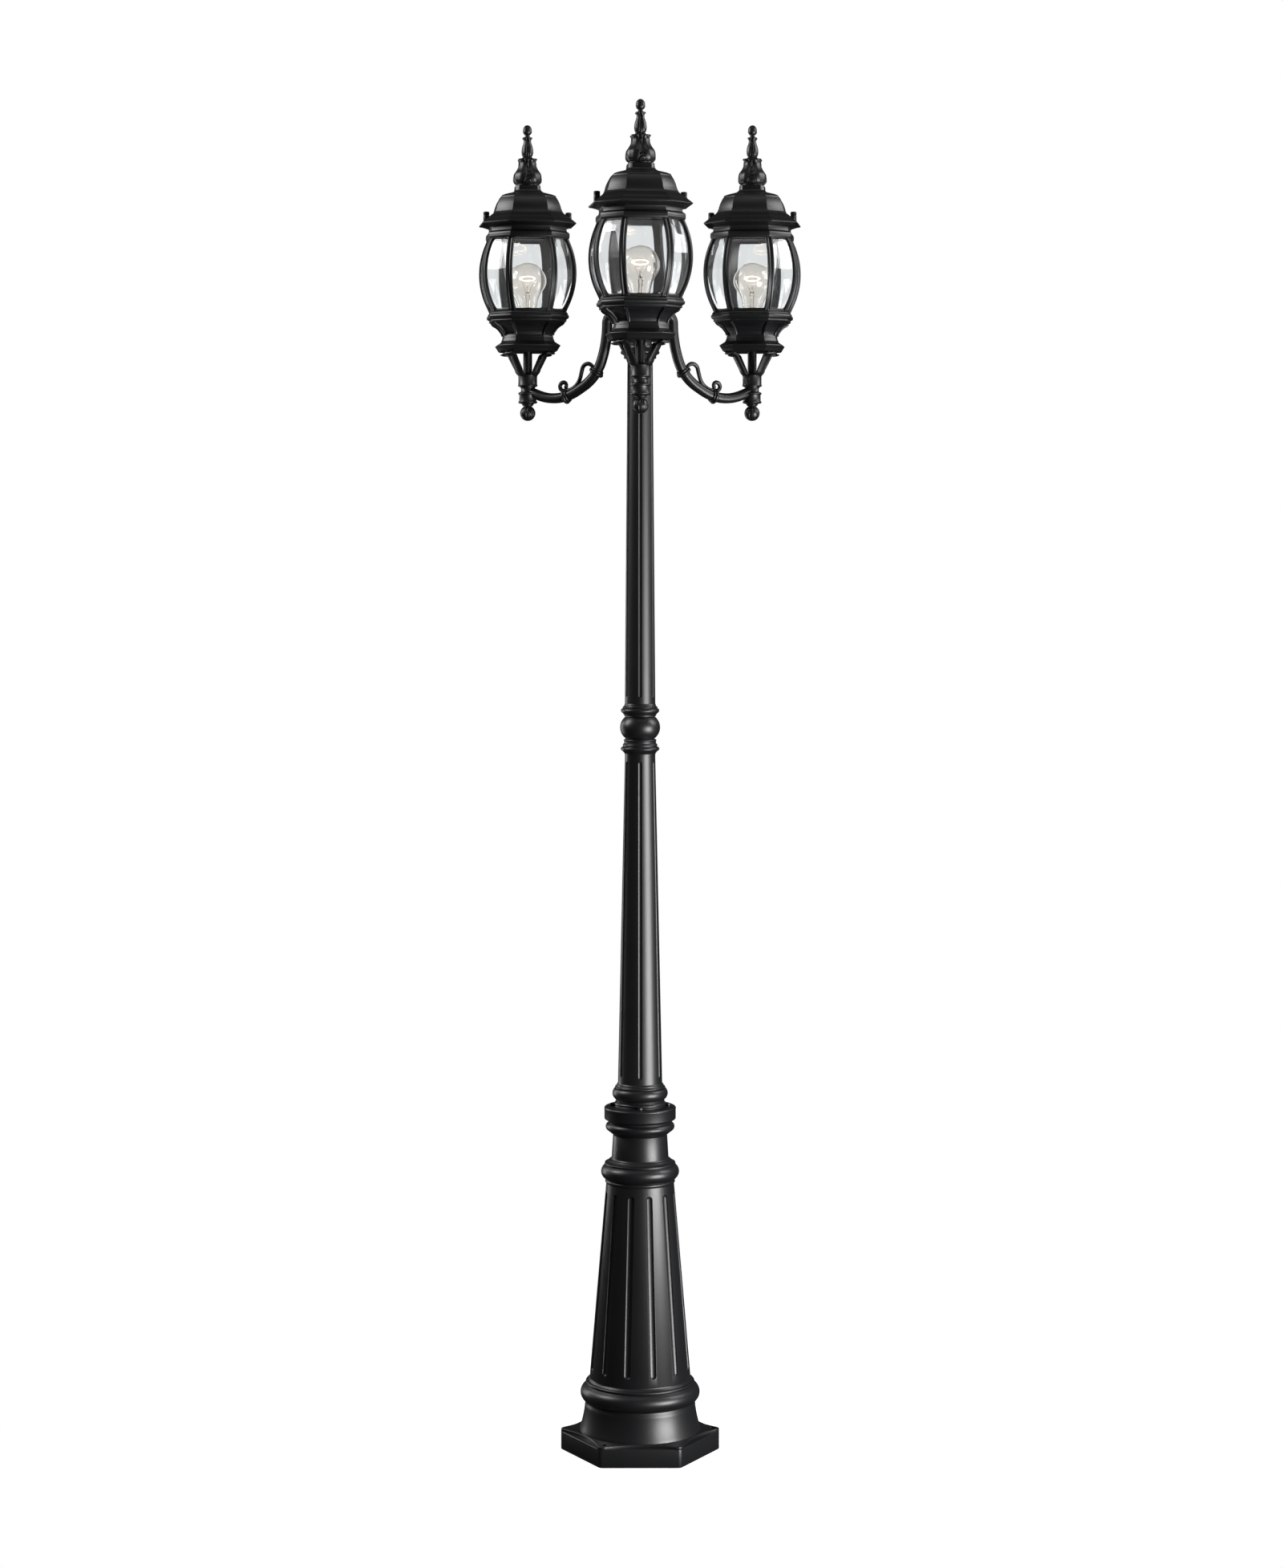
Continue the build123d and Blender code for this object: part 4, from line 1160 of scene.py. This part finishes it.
# ---------------------------------------------------------------- lamps
class LAMPPOST_OT_lamps(Step, bpy.types.Operator):
    """Clear bulb with a lit filament, its cap and the holder in the pan"""

    bl_idname = "lamp_post.lamps"
    bl_label = "Lamps and holders"

    def build(self, sizes):
        foot, top = span("front_lamp_holder")
        holder = turned(raised(foot, [
            (0, 0), (18.6, 0), (20.0, 1.2, 0.3), (20.0, 8.0), (19.2, 9.0), (20.0, 10.0),
        ]) + raised(top, [
            (20.0, -2.0), (18.8, 0, 0.5), (16.2, 0), (16.0, -0.6),
        ]) + [(16.0, foot + 12.0), (0, foot + 12.0)], 56)
        on_each_lantern(holder, "glazed_holder", "holder", "post", "holder_body", "lamp_holder")

        foot, top = span("front_bulb_cap")
        screw_line = raised(foot, [(0, 0), (6.5, 0), (7.5, 1.2, 0.3), (9.6, 3.2), (13.0, 5.0)])
        for n in range(5):
            base = foot + 6.0 + 3.2 * n
            screw_line += [(12.4, base), (13.4, base + 1.6, 0.4), (12.4, base + 3.2, 0.2)]
        screw_line += raised(top, [(12.8, -3.0), (13.2, -1.0, 0.2), (13.4, 0), (0, 0)])
        cap = turned(screw_line, 56)
        on_each_lantern(cap, "threaded_cap", "cap", "{side}_bulb", "cap_metal", "bulb_cap")

        foot = low("front_bulb_glass")
        radius, wall = 30.0, 0.7
        centre = foot + 57.0
        rounds = range(-30, 90, 5)
        skin = outline([
            (13.3, foot), (14.2, foot + 8.0), (15.6, foot + 16.0, -0.3), (24.3, centre - 17.6, -1.0),
            *raised(centre, [polar(radius, t) for t in rounds]), (0, centre + radius),
        ])
        lining = outline([
            (12.6, foot + 0.7), (14.2 - wall, foot + 8.0), (15.6 - wall, foot + 16.0, -0.3),
            (24.3 - wall, centre - 17.4, -1.0), *raised(centre, [polar(radius - wall, t) for t in rounds]),
            (0, centre + radius - wall),
        ])
        glass = turned([*skin, *lining[::-1], (13.3, foot)], 64)
        on_each_lantern(glass, "bulb_envelope", "bulb", "{side}_bulb", "bulb_glass", "bulb_glass", angle=60.0)

        mount = turned(raised(foot, [
            (0, 0.9), (11.5, 0.9), (10.0, 6.0, -0.6), (4.4, 17.0, -1.4), (3.6, 26.0), (4.6, 33.0),
            (3.2, 37.0, 0.6), (1.6, 44.0, -0.3), (2.4, 46.0, 0.5), (0, 47.2, 0.4),
        ]), 32)
        on_each_lantern(mount, "glass_mount", "inner", "{side}_bulb", "bulb_glass", angle=60.0)

        wires = []
        for sign in (-1, 1):
            lead = [(2.0, foot + 34.0), (3.4, foot + 40.0), (11.5, centre + 1.0), (12.2, centre + 3.2)]
            wires.append(rod([(sign * x, 0, z) for x, z in lead], 0.42, None, 8))
        for sign in (-1, 1):
            prop = [(0, 0, foot + 45.5), (3.2, 2.6, centre - 2.0), (4.4, 4.0, centre + 3.4)]
            wires.append(rod([(sign * x, y, z) for x, y, z in prop], 0.26, None, 8))
        on_each_lantern(joined(*wires), "support_wires", "wire", "{side}_bulb", "cap_metal", angle=60.0)
        coil = []
        turns, steps, thick = 40, 320, 0.6
        for n in range(steps + 1):
            way = pi + 2 * pi * 0.97 * (n / steps)
            t = 2 * pi * turns * n / steps
            wide, tall = 12.2 + thick * cos(t), 3.6 + thick * cos(t)
            coil.append((wide * cos(way), 2.2 * sin(way) + thick * sin(t), centre + 3.2 - tall * sin(way)))
        on_each_lantern(
            rod(coil, 0.22, None, 6), "lit_filament", "filament", "{side}_bulb", "bulb_glass", angle=80.0)


# ---------------------------------------------------------------- stage
class LAMPPOST_OT_stage(Step, bpy.types.Operator):
    """Pale floor and backdrop, soft lights and the camera"""

    bl_idname = "lamp_post.stage"
    bl_label = "Stage"

    def build(self, sizes):
        scene = bpy.context.scene
        scene.view_settings.view_transform = "Standard"
        bpy.ops.object.select_all(action="DESELECT")
        bpy.ops.mesh.primitive_plane_add(size=60, location=(0, 0, 0))
        floor = bpy.context.object
        floor.name = "studio_floor"
        floor.data.materials.append(self.floor_finish())
        self.world(scene)
        for name, place, target, size, power in (
            ("key_panel", (2.7, -2.3, 0.70), (0, 0, 0.65), (2.2, 1.4), 160.0),
            ("low_key_panel", (2.2, -1.6, 0.24), (0, 0, 0.3), (1.4, 0.4), 26.0),
            ("right_panel", (2.9, 0.1, 3.2), (0, 0, 2.0), (1.4, 1.8), 58.0),
            ("left_panel", (-2.9, 0.1, 3.2), (0, 0, 2.0), (1.4, 1.8), 76.0),
            ("left_edge_panel", (-2.4, 2.0, 1.0), (0, 0, 0.9), (0.6, 2.4), 22.0),
            ("top_panel", (0.2, -0.9, 4.6), (0, 0, 1.6), (2.0, 1.0), 6.0),
        ):
            bpy.ops.object.light_add(type="AREA", location=place)
            lamp = bpy.context.object
            lamp.name = name
            lamp.data.shape = "RECTANGLE"
            lamp.data.size, lamp.data.size_y = size
            lamp.data.energy = power
            lamp.rotation_euler = (Vector(target) - Vector(place)).to_track_quat("-Z", "Y").to_euler()
        bpy.ops.object.camera_add()
        camera = bpy.context.object
        camera.name = "photo_camera"
        camera.data.sensor_width = 36.0
        camera.data.lens = 74.38
        camera.data.shift_x, camera.data.shift_y = 0.0009, -0.0672
        azimuth, distance, height = radians(-0.15), 5.383, 1.5303
        pitch = radians(2.5)
        camera.location = (distance * sin(azimuth), -distance * cos(azimuth), height)
        camera.rotation_euler = (radians(90) - pitch, 0, azimuth)
        camera.data.clip_start, camera.data.clip_end = 0.05, 200.0
        scene.camera = camera

    @staticmethod
    def floor_finish():
        """White with the post's shadow to the camera, plain white through glass, dim in reflections."""
        floor = Finish("studio_floor_paint")
        drift = floor.noise(0.6, 2.0, 0.5)
        pale = floor.mixed(drift, (0.80, 0.80, 0.80, 1.0), (0.82, 0.82, 0.82, 1.0))
        dim = floor.mixed(drift, (0.045, 0.045, 0.045, 1.0), (0.055, 0.055, 0.055, 1.0))
        matte = floor.node("ShaderNodeBsdfDiffuse", Color=pale)
        lift = floor.node("ShaderNodeEmission", Color=(1, 1, 1, 1), Strength=0.70)
        shown = floor.node("ShaderNodeAddShader")
        for socket, part in zip(shown.inputs, (matte, lift)):
            feed(floor.tree, socket, part.outputs[0])
        quiet = floor.node("ShaderNodeBsdfDiffuse", Color=dim)
        bright = floor.node("ShaderNodeEmission", Color=(1, 1, 1, 1), Strength=1.0)
        path = floor.node("ShaderNodeLightPath")
        shadowed, fade = 0.4, 0.7
        far = ((floor.away() - shadowed) / fade).clamp()
        shown = floor.choice(far, shown, bright)
        first = floor.choice(path.outputs["Is Camera Ray"], quiet, shown)
        last = floor.choice(path.outputs["Is Transmission Ray"], first, bright)
        feed(floor.tree, floor.out.inputs[0], last.outputs[0])
        return floor.material

    @staticmethod
    def world(scene):
        """White to the camera and through glass, and dim as light on the post."""
        scene.world = bpy.data.worlds.new("studio_air")
        air = Finish(scene.world)
        seen = air.node("ShaderNodeBackground", Color=(1, 1, 1, 1), Strength=1.0)
        lit = air.node("ShaderNodeBackground", Color=(1, 1, 1, 1), Strength=0.05)
        rays = air.node("ShaderNodeLightPath").outputs
        seen_by = Value(air.tree, rays["Is Camera Ray"]) + Value(air.tree, rays["Is Transmission Ray"])
        feed(air.tree, air.out.inputs[0], air.choice(seen_by.clamp(), lit, seen).outputs[0])


class LAMPPOST_PT_panel(bpy.types.Panel):
    """Sizes, colours and build steps of the lamp post"""

    bl_idname = "LAMPPOST_PT_panel"
    bl_label = "Lamp Post"
    bl_space_type = "VIEW_3D"
    bl_region_type = "UI"
    bl_category = "Lamp Post"

    def draw(self, context):
        layout = self.layout
        for group in (context.scene.lamp_post_sizes, context.scene.lamp_post_looks):
            box = layout.box()
            for name in group.bl_rna.properties.keys():
                if name not in ("rna_type", "name"):
                    box.prop(group, name)
        for step in STEPS:
            layout.operator(step.bl_idname)


STEPS = (
    LAMPPOST_OT_base, LAMPPOST_OT_columns, LAMPPOST_OT_flange_bolts, LAMPPOST_OT_hub, LAMPPOST_OT_arms,
    LAMPPOST_OT_mounts, LAMPPOST_OT_pans, LAMPPOST_OT_cages, LAMPPOST_OT_panes, LAMPPOST_OT_roofs,
    LAMPPOST_OT_finials, LAMPPOST_OT_lamps, LAMPPOST_OT_stage,
)
CLASSES = (LampPostSizes, LampPostLooks, *STEPS, LAMPPOST_PT_panel)


def register():
    for cls in CLASSES:
        bpy.utils.register_class(cls)
    bpy.types.Scene.lamp_post_sizes = bpy.props.PointerProperty(type=LampPostSizes)
    bpy.types.Scene.lamp_post_looks = bpy.props.PointerProperty(type=LampPostLooks)


def unregister():
    del bpy.types.Scene.lamp_post_looks
    del bpy.types.Scene.lamp_post_sizes
    for cls in reversed(CLASSES):
        bpy.utils.unregister_class(cls)


def main():
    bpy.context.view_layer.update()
    register()
    for step in STEPS:
        group, name = step.bl_idname.split(".")
        getattr(getattr(bpy.ops, group), name)()
    bpy.ops.object.select_all(action="DESELECT")


if __name__ == "__main__":
    main()
